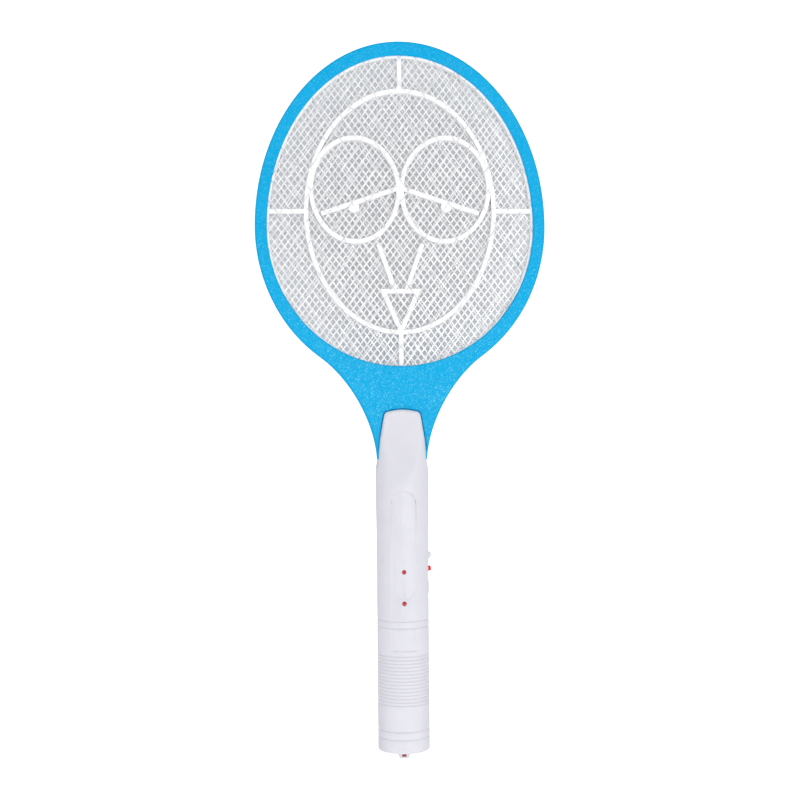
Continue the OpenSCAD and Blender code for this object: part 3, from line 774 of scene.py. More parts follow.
def pebble_grain():
    """Leather-like pebbles: a height and a mask of the crests."""
    tree, given, out = new_effect("pebble_grain", {"Pebble": 0.0011}, ["Height", "Crest"])
    scale = maths(tree, "DIVIDE", 1.0, given["Pebble"])
    waver = add_node(tree, "ShaderNodeTexNoise", {
        "Vector": given["Place"], "Scale": maths(tree, "MULTIPLY", scale, 0.6), "Detail": 2.0})
    bent = add_node(tree, "ShaderNodeVectorMath", {
        0: waver.outputs["Color"], 1: (0.5, 0.5, 0.5)}, operation="SUBTRACT")
    moved = add_node(tree, "ShaderNodeVectorMath", {
        0: bent.outputs[0], 1: (0.0009, 0.0009, 0.0009), 2: given["Place"]},
        operation="MULTIPLY_ADD")
    cells = add_node(tree, "ShaderNodeTexVoronoi", {
        "Vector": moved.outputs[0], "Scale": scale}, feature="DISTANCE_TO_EDGE")
    dome = spread(tree, cells.outputs["Distance"], 0.02, 0.32)
    tint = add_node(tree, "ShaderNodeTexVoronoi", {
        "Vector": moved.outputs[0], "Scale": scale}, feature="F1")
    hue = add_node(tree, "ShaderNodeSeparateColor", {"Color": tint.outputs["Color"]})
    crest = maths(tree, "MULTIPLY", dome, spread(tree, hue.outputs[0], 0, 0.8, 0.2, 1.0))
    tree.links.new(dome, out["Height"])
    tree.links.new(crest, out["Crest"])
    return tree


def moulded_skin():
    """The faint unevenness of a moulded face: a height, a cloud mask and fine specks."""
    tree, given, out = new_effect(
        "moulded_skin", {"Ripple": 0.012, "Speck": 0.0004}, ["Height", "Cloud", "Fleck"])
    cloud = add_node(tree, "ShaderNodeTexNoise", {
        "Vector": given["Place"], "Scale": maths(tree, "DIVIDE", 1.0, given["Ripple"]),
        "Detail": 3.0, "Roughness": 0.55})
    fleck = add_node(tree, "ShaderNodeTexNoise", {
        "Vector": given["Place"], "Scale": maths(tree, "DIVIDE", 1.0, given["Speck"]),
        "Detail": 2.0})
    soft = spread(tree, cloud.outputs["Fac"], 0.3, 0.7)
    fine = spread(tree, fleck.outputs["Fac"], 0.35, 0.65)
    both = maths(tree, "MULTIPLY_ADD", fine, 0.25, soft)
    tree.links.new(both, out["Height"])
    tree.links.new(soft, out["Cloud"])
    tree.links.new(fine, out["Fleck"])
    return tree


def drawn_metal():
    """Sheet or bar metal: fine drawn lines and a tarnish mask."""
    tree, given, out = new_effect(
        "drawn_metal", {"Line": 0.00012, "Patch": 0.004}, ["Height", "Tarnish"])
    stretched = add_node(tree, "ShaderNodeVectorMath", {
        0: given["Place"], 1: (1, 1, 0.06)}, operation="MULTIPLY")
    lines = add_node(tree, "ShaderNodeTexNoise", {
        "Vector": stretched.outputs[0], "Scale": maths(tree, "DIVIDE", 1.0, given["Line"]),
        "Detail": 2.0})
    patch = add_node(tree, "ShaderNodeTexNoise", {
        "Vector": given["Place"], "Scale": maths(tree, "DIVIDE", 1.0, given["Patch"]),
        "Detail": 4.0})
    tree.links.new(lines.outputs["Fac"], out["Height"])
    tree.links.new(spread(tree, patch.outputs["Fac"], 0.42, 0.66), out["Tarnish"])
    return tree


def finish_name(slot):
    """The name of a slot's detailed material, apart from the plain one that the CAD brings."""
    return slot + "_finish"


def new_material(slot):
    """A material with its surface shader and the piece's own place."""
    material = bpy.data.materials.new(finish_name(slot))
    material.use_nodes = True
    tree = material.node_tree
    surface = tree.nodes["Principled BSDF"]
    place = add_node(tree, "ShaderNodeTexCoord").outputs["Object"]
    return material, tree, surface, place


def effect(tree, make, place, **sizes):
    """A shared effect placed in a material with its own sizes."""
    group = add_node(tree, "ShaderNodeGroup", node_tree=tree_named(make.__name__, make))
    tree.links.new(place, group.inputs["Place"])
    for size, value in sizes.items():
        group.inputs[size].default_value = value
    return group.outputs


def blend_of(tree, mask, low, high):
    """A colour between two, by a mask."""
    mix = add_node(tree, "ShaderNodeMix", {0: mask, 6: (*low, 1), 7: (*high, 1)}, data_type="RGBA")
    return mix.outputs[2]


def bump(tree, surface, height, depth, strength=1.0):
    """Lets a height between 0 and 1 stand out by a depth in metres."""
    raised = add_node(tree, "ShaderNodeBump", {
        "Height": height, "Distance": depth, "Strength": strength})
    tree.links.new(raised.outputs[0], surface.inputs["Normal"])


def shade(colour, factor):
    """A colour made darker or paler."""
    return tuple(min(1.0, part * factor) for part in colour)


def frame_plastic():
    """Satin blue plastic with a leather grain on the rim's flat faces, its pale crests stronger
    toward the head's bottom and the neck: painted light, as from below.
    """
    colours = bpy.context.scene.swatter_colours
    material, tree, surface, place = new_material("frame_blue")
    grain = effect(tree, pebble_grain, place, Pebble=0.0014)
    skin = effect(tree, moulded_skin, place, Ripple=0.02, Speck=0.0003)
    where = add_node(tree, "ShaderNodeSeparateXYZ", {"Vector": place}).outputs
    flat = spread(tree, maths(tree, "ABSOLUTE", where["Y"]),
                  (HALF_T - 0.25) * MM, (HALF_T - 0.05) * MM)
    # The grain's pale crests grow stronger from the head's middle down to its bottom and the neck:
    # painted light, for light that falls from below.
    painted_light_below = spread(tree, where["Z"], HEAD_Z * MM, (HEAD_Z - HEAD_DOWN) * MM, 0.5, 1.0)
    crest = maths(tree, "MULTIPLY", grain["Crest"], maths(tree, "MULTIPLY", flat, painted_light_below))
    base = blend_of(tree, skin["Cloud"], shade(colours.frame, 0.95), colours.frame)
    speckled = add_node(tree, "ShaderNodeMix", {
        0: crest, 6: base, 7: (*colours.frame_speck, 1)}, data_type="RGBA").outputs[2]
    tree.links.new(speckled, surface.inputs["Base Color"])
    tree.links.new(spread(tree, grain["Height"], 0, 1, 0.52, 0.4), surface.inputs["Roughness"])
    height = maths(tree, "MULTIPLY_ADD", grain["Height"], flat, maths(
        tree, "MULTIPLY", skin["Fleck"], 0.12))
    surface.inputs["Specular IOR Level"].default_value = 0.05
    bump(tree, surface, height, 0.00009)
    return material


def smooth_plastic(slot, colour, rough, depth=0.000012, tint=0.96, coat=0.0, sheen=0.5):
    """Moulded plastic with a soft sheen and faint ripples."""
    material, tree, surface, place = new_material(slot)
    skin = effect(tree, moulded_skin, place)
    tree.links.new(blend_of(tree, skin["Cloud"], shade(colour, tint), colour),
                   surface.inputs["Base Color"])
    tree.links.new(spread(tree, skin["Fleck"], 0, 1, rough - 0.05, rough + 0.06),
                   surface.inputs["Roughness"])
    surface.inputs["Specular IOR Level"].default_value = sheen
    surface.inputs["Coat Weight"].default_value = coat
    surface.inputs["Coat Roughness"].default_value = 0.15
    bump(tree, surface, skin["Height"], depth)
    return material


def metal(slot, colour, dull, rough):
    """Bright or plated metal with drawn lines and patches of tarnish."""
    material, tree, surface, place = new_material(slot)
    marks = effect(tree, drawn_metal, place)
    tree.links.new(blend_of(tree, marks["Tarnish"], colour, dull), surface.inputs["Base Color"])
    tree.links.new(spread(tree, marks["Tarnish"], 0, 1, rough, rough + 0.15),
                   surface.inputs["Roughness"])
    surface.inputs["Metallic"].default_value = 1.0
    bump(tree, surface, marks["Height"], 0.000006)
    return material


def tinted_epoxy(slot, colour, clear):
    """Clear or tinted cast resin, glossy, with faint flow marks."""
    material, tree, surface, place = new_material(slot)
    skin = effect(tree, moulded_skin, place, Ripple=0.0012, Speck=0.0001)
    tree.links.new(blend_of(tree, skin["Cloud"], shade(colour, 0.85), colour),
                   surface.inputs["Base Color"])
    tree.links.new(spread(tree, skin["Fleck"], 0, 1, 0.1, 0.16), surface.inputs["Roughness"])
    surface.inputs["Transmission Weight"].default_value = clear
    surface.inputs["IOR"].default_value = 1.5
    bump(tree, surface, skin["Height"], 0.000004)
    return material


def solder_mask():
    """Green board lacquer over a weave, with pale pads here and there."""
    material, tree, surface, place = new_material("board_green")
    weave = add_node(tree, "ShaderNodeTexWave", {"Vector": place, "Scale": 900.0})
    cells = add_node(tree, "ShaderNodeTexVoronoi", {"Vector": place, "Scale": 260.0})
    pads = spread(tree, cells.outputs["Distance"], 0.2, 0.16)
    green = blend_of(tree, weave.outputs["Fac"], (0.04, 0.22, 0.11), (0.07, 0.3, 0.16))
    dotted = add_node(tree, "ShaderNodeMix", {
        0: pads, 6: green, 7: (0.62, 0.6, 0.52, 1)}, data_type="RGBA").outputs[2]
    tree.links.new(dotted, surface.inputs["Base Color"])
    tree.links.new(spread(tree, pads, 0, 1, 0.4, 0.3), surface.inputs["Roughness"])
    bump(tree, surface, weave.outputs["Fac"], 0.00001)
    return material


def wound_tape():
    """Yellow tape wound in turns round the transformer's coil."""
    material, tree, surface, place = new_material("coil_tape")
    turns = add_node(tree, "ShaderNodeTexWave", {
        "Vector": place, "Scale": 320.0, "Distortion": 0.4}, bands_direction="Z")
    tree.links.new(blend_of(tree, turns.outputs["Fac"], (0.62, 0.47, 0.1), (0.85, 0.7, 0.2)),
                   surface.inputs["Base Color"])
    tree.links.new(spread(tree, turns.outputs["Fac"], 0, 1, 0.45, 0.3), surface.inputs["Roughness"])
    bump(tree, surface, turns.outputs["Fac"], 0.00005)
    return material


def banded_lacquer():
    """Tan resistor lacquer with generic colour bands."""
    material, tree, surface, place = new_material("resistor_tan")
    bands = add_node(tree, "ShaderNodeTexWave", {"Vector": place, "Scale": 190.0})
    band = spread(tree, bands.outputs["Fac"], 0.8, 0.85)
    tree.links.new(blend_of(tree, band, (0.72, 0.56, 0.38), (0.3, 0.08, 0.03)),
                   surface.inputs["Base Color"])
    tree.links.new(spread(tree, band, 0, 1, 0.4, 0.3), surface.inputs["Roughness"])
    bump(tree, surface, band, 0.00003)
    return material


def make_finish(slot):
    """The material for one of the record's slots."""
    colours = bpy.context.scene.swatter_colours
    makers = {
        "frame_blue": frame_plastic,
        "board_green": solder_mask,
        "coil_tape": wound_tape,
        "resistor_tan": banded_lacquer,
        "spacer_white": lambda: smooth_plastic(slot, colours.ribs, 0.38),
        "shell_lavender": lambda: smooth_plastic(slot, colours.shell, 0.36, coat=0.1),
        "insert_red": lambda: smooth_plastic(slot, (0.42, 0.01, 0.008), 0.6, 0.00003, 0.85),
        "button_red": lambda: smooth_plastic(slot, colours.red, 0.35, tint=0.9, sheen=0.15),
        "film_red": lambda: smooth_plastic(slot, (0.5, 0.1, 0.06), 0.3, 0.00003, 0.85),
        "part_black": lambda: smooth_plastic(slot, (0.03, 0.03, 0.035), 0.45, 0.00002, 0.8),
        "ferrite": lambda: smooth_plastic(slot, (0.12, 0.12, 0.13), 0.6, 0.00004, 0.7),
        "battery_grey": lambda: smooth_plastic(slot, (0.16, 0.17, 0.19), 0.5, 0.00002, 0.85),
        "wire_red": lambda: smooth_plastic(slot, (0.7, 0.06, 0.05), 0.4, 0.00002, 0.85),
        "wire_black": lambda: smooth_plastic(slot, (0.04, 0.04, 0.045), 0.4, 0.00002, 0.8),
        "led_red": lambda: tinted_epoxy(slot, (0.6, 0.008, 0.008), 0.1),
        "led_clear": lambda: tinted_epoxy(slot, (0.88, 0.9, 0.92), 0.6),
        "grid_metal": lambda: metal(slot, colours.metal, (0.8, 0.81, 0.83), 0.45),
        # The outer grids' darker colour is painted shade over the white ribs.
        "outer_grid_metal": lambda: metal(slot, colours.outer_metal, (0.62, 0.63, 0.65), 0.45),
        "screw_steel": lambda: metal(slot, (0.62, 0.62, 0.63), (0.45, 0.45, 0.44), 0.3),
        "switch_metal": lambda: metal(slot, (0.66, 0.66, 0.68), (0.5, 0.5, 0.5), 0.35),
        "contact_brass": lambda: metal(slot, (0.8, 0.62, 0.28), (0.5, 0.36, 0.16), 0.3),
        "pin_nickel": lambda: metal(slot, (0.75, 0.73, 0.68), (0.6, 0.56, 0.48), 0.2),
    }
    return makers[slot]()


def finish(slot):
    """The material of a slot, made the first time that it is asked for."""
    return bpy.data.materials.get(finish_name(slot)) or make_finish(slot)


# ---- The head ----

def edge_rings(outline_at, face, radius, inward):
    """Rings round a rounded edge, from the wall to a little way in on the face."""
    sign = 1 if inward else -1
    rings = []
    for step in range(7):
        a = math.radians(15 * step)
        inset = sign * radius * (1 - math.cos(a))
        rings.append((outline_at, inset, face - radius + radius * math.sin(a)))
    rings.append((outline_at, sign * (radius + 0.3), face))
    return rings


def frame_half(name, side):
    """Half of the head's frame: its rim, its pocket and its neck. Side is -1 at the front."""
    sizes = bpy.context.scene.swatter_sizes
    outer = [(bat_outline, 0.25, 0.0), (bat_outline, 0.0, 0.25)]
    outer += edge_rings(bat_outline, HALF_T, sizes.edge_round / MM, True)
    lip = edge_rings(opening, HALF_T, sizes.lip_round / MM, False)
    lip = [(shape, -grow, depth) for shape, grow, depth in lip][::-1]
    lip += [(opening, 0.0, HALF_T - WALL + 0.2), (opening, 0.2, HALF_T - WALL)]

    def rings(rows):
        return [at_depth(shape(grow), side * depth) for shape, grow, depth in rows]

    pocket = [p for p in bat_outline(WALL) if p[1] > POCKET_Z]
    skin = Skin()
    seam, face = skin.loft(rings(outer))
    brink, lip_back = skin.loft(rings(lip))
    floor, mouth = skin.loft([at_depth(pocket, side * (HALF_T - WALL)), at_depth(pocket, 0)])
    skin.fill(face, brink)
    skin.fill(floor, lip_back)
    skin.fill(seam, mouth)
    half = skin.build(name)
    low = [p for p in bat_outline(WALL) if p[1] < POCKET_Z + 0.1]
    neck_floor = SEAT_Y - WALL
    tools = [
        prism("neck_pocket", low, *sorted((side * -0.5, side * neck_floor))),
        prism("seat", tongue_outline(SEAT_PLAY), *sorted((side * SEAT_Y, side * 20))),
    ]
    return half, tools


class SWATTER_OT_frames(bpy.types.Operator):
    """Build the blue front and rear frames of the head"""

    bl_idname = "swatter.frames"
    bl_label = "Frames"

    def execute(self, context):
        front, tools = frame_half("front_rim", -1)
        hand_over(carved(front, *tools), "bat", "frame_blue", "front_frame")
        rear, tools = frame_half("rear_rim", 1)
        bore, seat = RIM_SCREW["shank"] + SCREW_PLAY, RIM_SCREW["head"] + SCREW_PLAY
        hole = [(0, -3), (bore, -3), (bore, -1.5), (seat, -1.5), (seat, 1), (0, 1)]
        for angle in RIM_SCREW_ANGLES:
            at = rim_screw_at(angle)
            tools.append(lathe("screw_hole", hole, 36, place=lambda a, b, h, at=at: (
                at[0] + a, HALF_T + h, at[1] + b)))
        hand_over(carved(rear, *tools), "bat", "frame_blue", "rear_frame")
        return {"FINISHED"}


def line_loop(points, closed, lift):
    """A drawing's points laid flat in metres and lifted, with the edges between them."""
    flat = [(x * MM, z * MM, lift * MM) for x, z in points]
    edges = [(i, i + 1) for i in range(len(flat) - 1)]
    if closed:
        edges.append((len(flat) - 1, 0))
    return flat, edges


def oval(centre, half_w, half_h, tilt=0, steps=96):
    """A closed oval, tilted by degrees."""
    t = math.radians(tilt)
    points = []
    for i in range(steps):
        a = 2 * math.pi * i / steps
        x, z = half_w * math.cos(a), half_h * math.sin(a)
        points.append((centre[0] + x * math.cos(t) - z * math.sin(t),
                       centre[1] + x * math.sin(t) + z * math.cos(t)))
    return points


def rib_lines():
    """The lines of the spacer's drawing: an oval, two rings, bars and spokes."""
    eye = oval((29.7, 367.2), 28.7, 34.0, -3)
    brow = [(1, 368.1), (51.8, 351.4)]
    strut = [(14.4, 331.4), (3.9, 301.2)]
    spoke = [(61.2, 353), (OPEN_W + 1, 353)]
    lines = [
        (oval((0, 352.7), 61.7, 79.2, steps=144), True),
        ([(0, 431.5), (0, HEAD_Z + OPEN_UP + 1)], False),
        ([(0, HEAD_Z - OPEN_DOWN - 1), (0, 273.6)], False),
        (eye, True), (mirrored(eye), True),
    ]
    for line in (brow, strut, spoke):
        lines += [(line, False), (mirrored(line), False)]
    return lines


def triangle_plate(name, y0, y1, width, corner):
    """The drawing's triangle of ribs, which points down, in one piece."""
    points = [Vector(p) for p in ((-11.5, 300.5), (11.5, 300.5), (0, 274.3))]
    sides = [(points[i - 1] - points[i - 2]).length for i in range(3)]
    centre = sum((p * side for p, side in zip(points, sides)), Vector((0, 0))) / sum(sides)
    inner_radius = 300.5 - centre.y

    def ring(grow):
        """The triangle made larger all round by grow."""
        factor = 1 + grow / inner_radius
        return [tuple(centre + (p - centre) * factor) for p in points]

    skin = Skin()
    front, back = skin.loft([at_depth(ring(width / 2), y) for y in (y0, y1)])
    hole, hole_back = skin.loft([at_depth(ring(-width / 2), y) for y in (y0, y1)])
    skin.fill(front, hole)
    skin.fill(back, hole_back)
    return edges_rounded(skin.build(name), corner, 3)


def spacer_ring(name, y0, y1):
    """The spacer's ring, which shows a little inside the opening."""
    edge = WALL + RING_GAP
    outer = egg(HEAD_W - edge, HEAD_UP - edge, HEAD_DOWN - edge)

    def inner(grow):
        return egg(OPEN_W - RING_SHOW + grow, OPEN_UP - RING_SHOW + grow, OPEN_DOWN + grow)

    skin = Skin()
    low, high = skin.loft([at_depth(outer, y0), at_depth(outer, y1)])
    brink, back = skin.loft([
        at_depth(inner(0.5), y0), at_depth(inner(0.15), y0 + 0.15), at_depth(inner(0), y0 + 0.5),
        at_depth(inner(0), y1 - 0.5), at_depth(inner(0.15), y1 - 0.15), at_depth(inner(0.5), y1)])
    skin.fill(low, brink)
    skin.fill(high, back)
    return skin.build(name)


class SWATTER_OT_spacers(bpy.types.Operator):
    """Build the two white spacers: a ring each, with a drawing of ribs"""

    bl_idname = "swatter.spacers"
    bl_label = "Spacers"

    def execute(self, context):
        sizes = context.scene.swatter_sizes
        near, far = GRID_T / 2, HALF_T - WALL - GRID_T
        for word, side in (("front", -1), ("rear", 1)):
            y0, y1 = sorted((side * near, side * far))
            ring = spacer_ring(f"{word}_spacer_ring", y0, y1)
            hand_over(ring, "bat", "spacer_white", f"{word}_spacer")
            points, edges = [], []
            for number, (line, closed) in enumerate(rib_lines()):
                flat, pairs = line_loop(line, closed, RIB_LIFT * (number - 5))
                edges += [(a + len(points), b + len(points)) for a, b in pairs]
                points += flat
            ribs = grown(f"{word}_ribs", points, edges, tree_named("ribs_on_lines", rib_tree), {
                "Width": sizes.rib_width, "Thickness": (y1 - y0 - RIB_PLAY) * MM,
                "Corner": sizes.rib_round, "Depth": (y0 + y1) / 2 * MM}, "spacer_white")
            hand_over(ribs, "bat", "spacer_white")
            triangle = triangle_plate(
                f"{word}_triangle", y0, y1, sizes.rib_width / MM, sizes.rib_round)
            hand_over(triangle, "bat", "spacer_white")
            for x in (-DOT_AT[0], DOT_AT[0]):
                dot = [(0, y0 + 0.01), (3.0, y0 + 0.01), (3.5, y0 + 0.2), (3.6, y0 + 0.6),
                       (3.6, y1 - 0.6), (3.5, y1 - 0.2), (3.0, y1 - 0.01), (0, y1 - 0.01)]
                side_name = "left" if x < 0 else "right"
                button = lathe(f"{word}_{side_name}_dot", dot, 48,
                               place=lambda a, b, h, x=x: (x + a, h, DOT_AT[1] + b))
                hand_over(button, "bat", "spacer_white")
        return {"FINISHED"}


class SWATTER_OT_grids(bpy.types.Operator):
    """Build the coarse outer grids and the fine charged grid between them"""

    bl_idname = "swatter.grids"
    bl_label = "Grids"

    def execute(self, context):
        sizes = context.scene.swatter_sizes
        far = HALF_T - WALL - GRID_T / 2
        outer = (sizes.outer_pitch, sizes.outer_strand, "outer_grid_metal")
        centre = (sizes.centre_pitch, sizes.centre_strand, "grid_metal")
        rows = (("front", -far, outer), ("centre", 0, centre), ("rear", far, outer))
        for word, depth, (pitch, strand, look) in rows:
            grid = grown(f"{word}_strands", [(0, 0, 0)], [], tree_named(
                "diamond_lattice", lattice_tree), {
                "Opening Width": pitch[0], "Opening Height": pitch[1], "Strand": strand,
                "Thickness": GRID_T * MM, "Depth": depth * MM,
                "Half Width": (OPEN_W + 1.6) * MM, "Reach Up": (OPEN_UP + 1.6) * MM,
                "Reach Down": (OPEN_DOWN + 1.6) * MM, "Centre Height": HEAD_Z * MM}, look)
            hand_over(grid, "bat", "grid_metal", f"{word}_grid", look=look)
            edge = WALL + RING_GAP + 0.4
            skin = Skin()
            outline = egg(HEAD_W - edge, HEAD_UP - edge, HEAD_DOWN - edge)
            y0, y1 = depth - GRID_T / 2, depth + GRID_T / 2
            low, high = skin.loft([at_depth(outline, y0), at_depth(outline, y1)])
            brink, back = skin.loft([at_depth(opening(1), y0), at_depth(opening(1), y1)])
            skin.fill(low, brink)
            skin.fill(high, back)
            hand_over(skin.build(f"{word}_grid_edge"), "bat", "grid_metal", look=look)
        return {"FINISHED"}


class SWATTER_OT_screws(bpy.types.Operator):
    """Build the cross-recessed screws of the rim and the handle"""

    bl_idname = "swatter.screws"
    bl_label = "Screws"

    def execute(self, context):
        rim = [rim_screw_at(a) for a in RIM_SCREW_ANGLES]
        groups = (("rim_screws", rim, RIM_SCREW, 12.5, ["frame_screws"]),
                  ("handle_low_screws", LOW_SCREWS, HANDLE_HEAD, 20.5, ["handle_screws"]),
                  ("neck_screw", [NECK_SCREW], TONGUE_HEAD, 13, []))
        for name, places, kind, length, nodes in groups:
            middle = kind["top"] - kind["height"]
            points = [(x * MM, middle * MM, z * MM) for x, z in places]
            screws = grown(name, points, [], tree_named("screws_at_points", screw_tree), {
                "Shank": kind["shank"] * MM, "Head": kind["head"] * MM,
                "Height": kind["height"] * MM, "Length": length * MM}, "screw_steel")
            hand_over(screws, "bat", "screw_steel", *nodes)
        return {"FINISHED"}


# ---- The handle ----

def groove(z, depth=GROOVE_D):
    """A small rounded groove round the grip."""
    steps = ((-1, 0), (-0.6, 0.18), (-0.28, 0.75), (0, 1), (0.28, 0.75), (0.6, 0.18), (1, 0))
    return [(GRIP_R - depth * d, z + GROOVE_HALF * s) for s, d in steps]


def grip_profile():
    """The grip's outer radius from the spigot up."""
    profile = [(0, SPIGOT_Z), (SPIGOT_R, SPIGOT_Z), (SPIGOT_R, CAP_Z)]
    profile += groove(CAP_Z)[3:]
    for i in range(GRIP_RIBS):
        profile += groove(RIB_START + i * RIB_PITCH)
    for z in BAND_GROOVES:
        profile += groove(z)
    profile += [(GRIP_R, CONE_Z[0]), (TOP_R, CONE_Z[1])] + facet_rows(TOP_R)
    return profile + [(0, TONGUE_Z + 5)]


def cavity_profile():
    """The hollow inside the grip."""
    radius = SPIGOT_R - SPIGOT_WALL
    rows = [row for row in facet_rows(INNER_R) if row[1] < SHOULDER_Z]
    return [(0, SPIGOT_Z - 1), (radius, SPIGOT_Z - 1), (radius, CAP_Z), (INNER_R, CAP_Z + 1.5),
            *rows, (INNER_R, SHOULDER_Z + 0.3), (0, SHOULDER_Z + 0.3)]


def facet_depth(z):
    """How far forward the handle's upper face stands at a height."""
    u = min(1.0, (z - FACET_Z) / (TONGUE_Z - FACET_Z))
    return TOP_R - (TOP_R - FACET_Y) * (1 - (1 - u) ** 2)


def under_facet(inset=0.0):
    """Where a lathed point goes: held under the facet, with a softly rounded crease."""
    def place(x, y, z):
        limit = facet_depth(z) - inset
        near = max(0.0, 1 - abs(abs(y) - limit) / CREASE_SPAN)
        depth = min(abs(y), limit) - CREASE_SPAN * near * near / 4
        return (x, math.copysign(depth, y), z)
    return place


def facet_rows(radius):
    """Profile rows, close enough together for the curve of the facet."""
    steps = 36
    low, high = FACET_Z - 4, TONGUE_Z + 5
    return [(radius, low + (high - low) * i / steps) for i in range(steps + 1)]


def inlay_cutter(name, shape, side, depth):
    """A shallow recess in the grip's round face, with sloped edges. Shape takes a grow."""
    def on_grip(points, radius):
        """A drawing laid on the grip at a radius."""
        return [(x, side * math.sqrt(radius ** 2 - x * x), z) for x, z in points]

    low, high = shape(-INLAY_SLOPE), shape(INLAY_SLOPE)
    skin = Skin()
    first, last = skin.loft([at_depth(low, side * 4), on_grip(low, GRIP_R - depth),
                             on_grip(high, GRIP_R + 0.02), at_depth(high, side * 30)])
    skin.fill(first)
    skin.fill(last)
    band = lathe(name, [(GRIP_R - depth, 0), (GRIP_R - depth, 250), (GRIP_R + 4, 250),
                        (GRIP_R + 4, 0), (GRIP_R - depth, 0)])
    return carved(band, skin.build("inlay"), operation="INTERSECT")


def half_block(side):
    """A block that fills the half of space behind the shell's seam."""
    return box("half", (-40, 40), sorted((0, -side * 40)), (-20, 260))


def tongue_mould(side):
    """What the shell is kept inside: it gives the tongue its outline and its rounded edge."""
    def ring(inset, above):
        """The outline drawn in by inset, at a height above the handle's own surface."""
        edge = [(x, z) for x, z in tongue_outline(-inset) if z > SHOULDER_Z - 6]
        points = [(-30, 0), (30, 0), (30, SHOULDER_Z - 6)] + edge + [(-30, SHOULDER_Z - 6)]
        ring = []
        for x, z in points:
            round_face = math.sqrt(max(0.0, TOP_R ** 2 - x * x)) if abs(x) < TOP_R else 0
            surface = min(facet_depth(z), round_face) if abs(x) < 20 else 20
            ring.append((x, side * (surface + above), z))
        return ring

    skin = Skin()
    rows = [at_depth([(x, z) for x, _, z in ring(0, 0)], side * -1)]
    rows += [ring(TONGUE_ROUND * (1 - math.cos(a)), TONGUE_ROUND * (math.sin(a) - 1))
             for a in (math.radians(30 * i) for i in range(4))]
    rows.append(at_depth([(x, z) for x, _, z in ring(TONGUE_ROUND, 0)], side * 30))
    first, last = skin.loft(rows)
    skin.fill(first)
    skin.fill(last)
    return skin.build("tongue")


def shell_half(name, side):
    """Half of the handle, hollow, with its tongue. Side is -1 at the front."""
    shell = lathe(name, grip_profile(), place=under_facet())
    cavity = lathe("cavity", cavity_profile(), place=under_facet(WALL))
    over_neck = box("over_neck", (-30, 30), (-SEAT_Y, SEAT_Y), (SHOULDER_Z, TONGUE_Z + 10))
    carved(shell, cavity, over_neck, half_block(side))
    return carved(shell, tongue_mould(side), operation="INTERSECT", angle=SHELL_CREASE)


def side_holes():
    """The holes and the scoop in the handle's right side."""
    scoop = [(15.9, 98.8), (18, 97.4), (18, 116.4), (15.9, 115.0)]
    return [
        box("button_hole", (12, 20), (-2.8, 2.8), (BUTTON_Z - 1.8, BUTTON_Z + 1.8)),
        box("stem_hole", (12, 20), (-1.6, 1.6), (SLIDER_Z - 4.4, SLIDER_Z + 4.4)),
        prism("scoop", scoop, -4.6, 4.6),
        box("lamp_hole", (14, 20), (-1.8, 1.8), LAMP_Z),
    ]


class SWATTER_OT_handle(bpy.types.Operator):
    """Build the two pale shells of the handle"""

    bl_idname = "swatter.handle"
    bl_label = "Handle"

    def execute(self, context):
        front = shell_half("front_shell", -1)
        tools = [inlay_cutter("panel", panel_outline, -1, EMBOSS),
                 inlay_cutter("badge", badge_outline, -1, EMBOSS)]
        bore, rim = LED_R + 0.03, LED_R + 0.8
        hole = [(0, 0), (bore, 0), (bore, 6.4), (rim, 7.1), (rim, 9), (0, 9)]
        for z in LED_ZS.values():
            tools.append(lathe("led_hole", hole, 48,
                               place=lambda a, b, h, z=z: (a, -10 - h, z + b)))
        carved(front, *tools, *side_holes(), angle=SHELL_CREASE)
        hand_over(evened(front, SHELL_CREASE), "bat", "shell_lavender", "handle_front_shell")
        rear = shell_half("rear_shell", 1)
        tools = [box("thumb_slot", (-THUMB_SLOT["half"], THUMB_SLOT["half"]), (10, 20),
                     (THUMB_SLOT["low"], THUMB_SLOT["high"]))]
        for at in LOW_SCREWS:
            tools.append(rod("seat", at, HANDLE_SEAT_Y, 20, HANDLE_HEAD["head"] + SCREW_PLAY))
        tools.append(rod("seat", NECK_SCREW, NECK_SEAT_Y, 20, TONGUE_HEAD["head"] + SCREW_PLAY))
        carved(rear, *tools, *side_holes(), angle=SHELL_CREASE)
        hand_over(evened(rear, SHELL_CREASE), "bat", "shell_lavender", "handle_rear_shell")
        return {"FINISHED"}


class SWATTER_OT_butt(bpy.types.Operator):
    """Build the butt cap with its lug and bung"""

    bl_idname = "swatter.butt"
    bl_label = "Butt cap"

    def execute(self, context):
        outer = [(0, BUTT_Z), (GRIP_R - 1.6, BUTT_Z), (GRIP_R - 1, BUTT_Z + 0.1),
                 (GRIP_R - 0.5, BUTT_Z + 0.35), (GRIP_R - 0.15, BUTT_Z + 0.75), (GRIP_R, 0.3)]
        outer += groove(CAP_GROOVE)
        outer += groove(CAP_Z)[:4]
        outer += [(0, CAP_Z)]
        cap = lathe("butt", outer)
        lug = [(-5.6, 0.5), (-2.9, -6), (2.9, -6), (5.6, 0.5)]
        lug = prism("lug", [(x, z + BUTT_Z) for x, z in lug], -2.5, 2.5)
        carved(cap, edges_rounded(lug, 0.0005, 3), operation="UNION")
        tools = [lathe("hollow", [(0, 2), (INNER_R, 2), (INNER_R, 20), (0, 20)], 96),
                 box("slot", (-1.45, 1.45), (-10, 10), (-5.8, -4.3))]
        for x in (-PIN_X, PIN_X):
            tools.append(lathe("pin_hole", [(0, -2), (PIN_HOLE_R, -2), (PIN_HOLE_R, 4), (0, 4)],
                               40, place=lambda a, b, h, x=x: (x + a, b, h)))
        carved(cap, *tools)
        hand_over(cap, "bat", "shell_lavender", "butt_cap")
        bung = box("lug_bung", (-1.4, 1.4), (-2.3, 2.3), (-5.75, -4.35))
        hand_over(edges_rounded(bung, 0.0003, 3), "bat", "insert_red", "strap_plug")
        return {"FINISHED"}


# ---- The controls ----

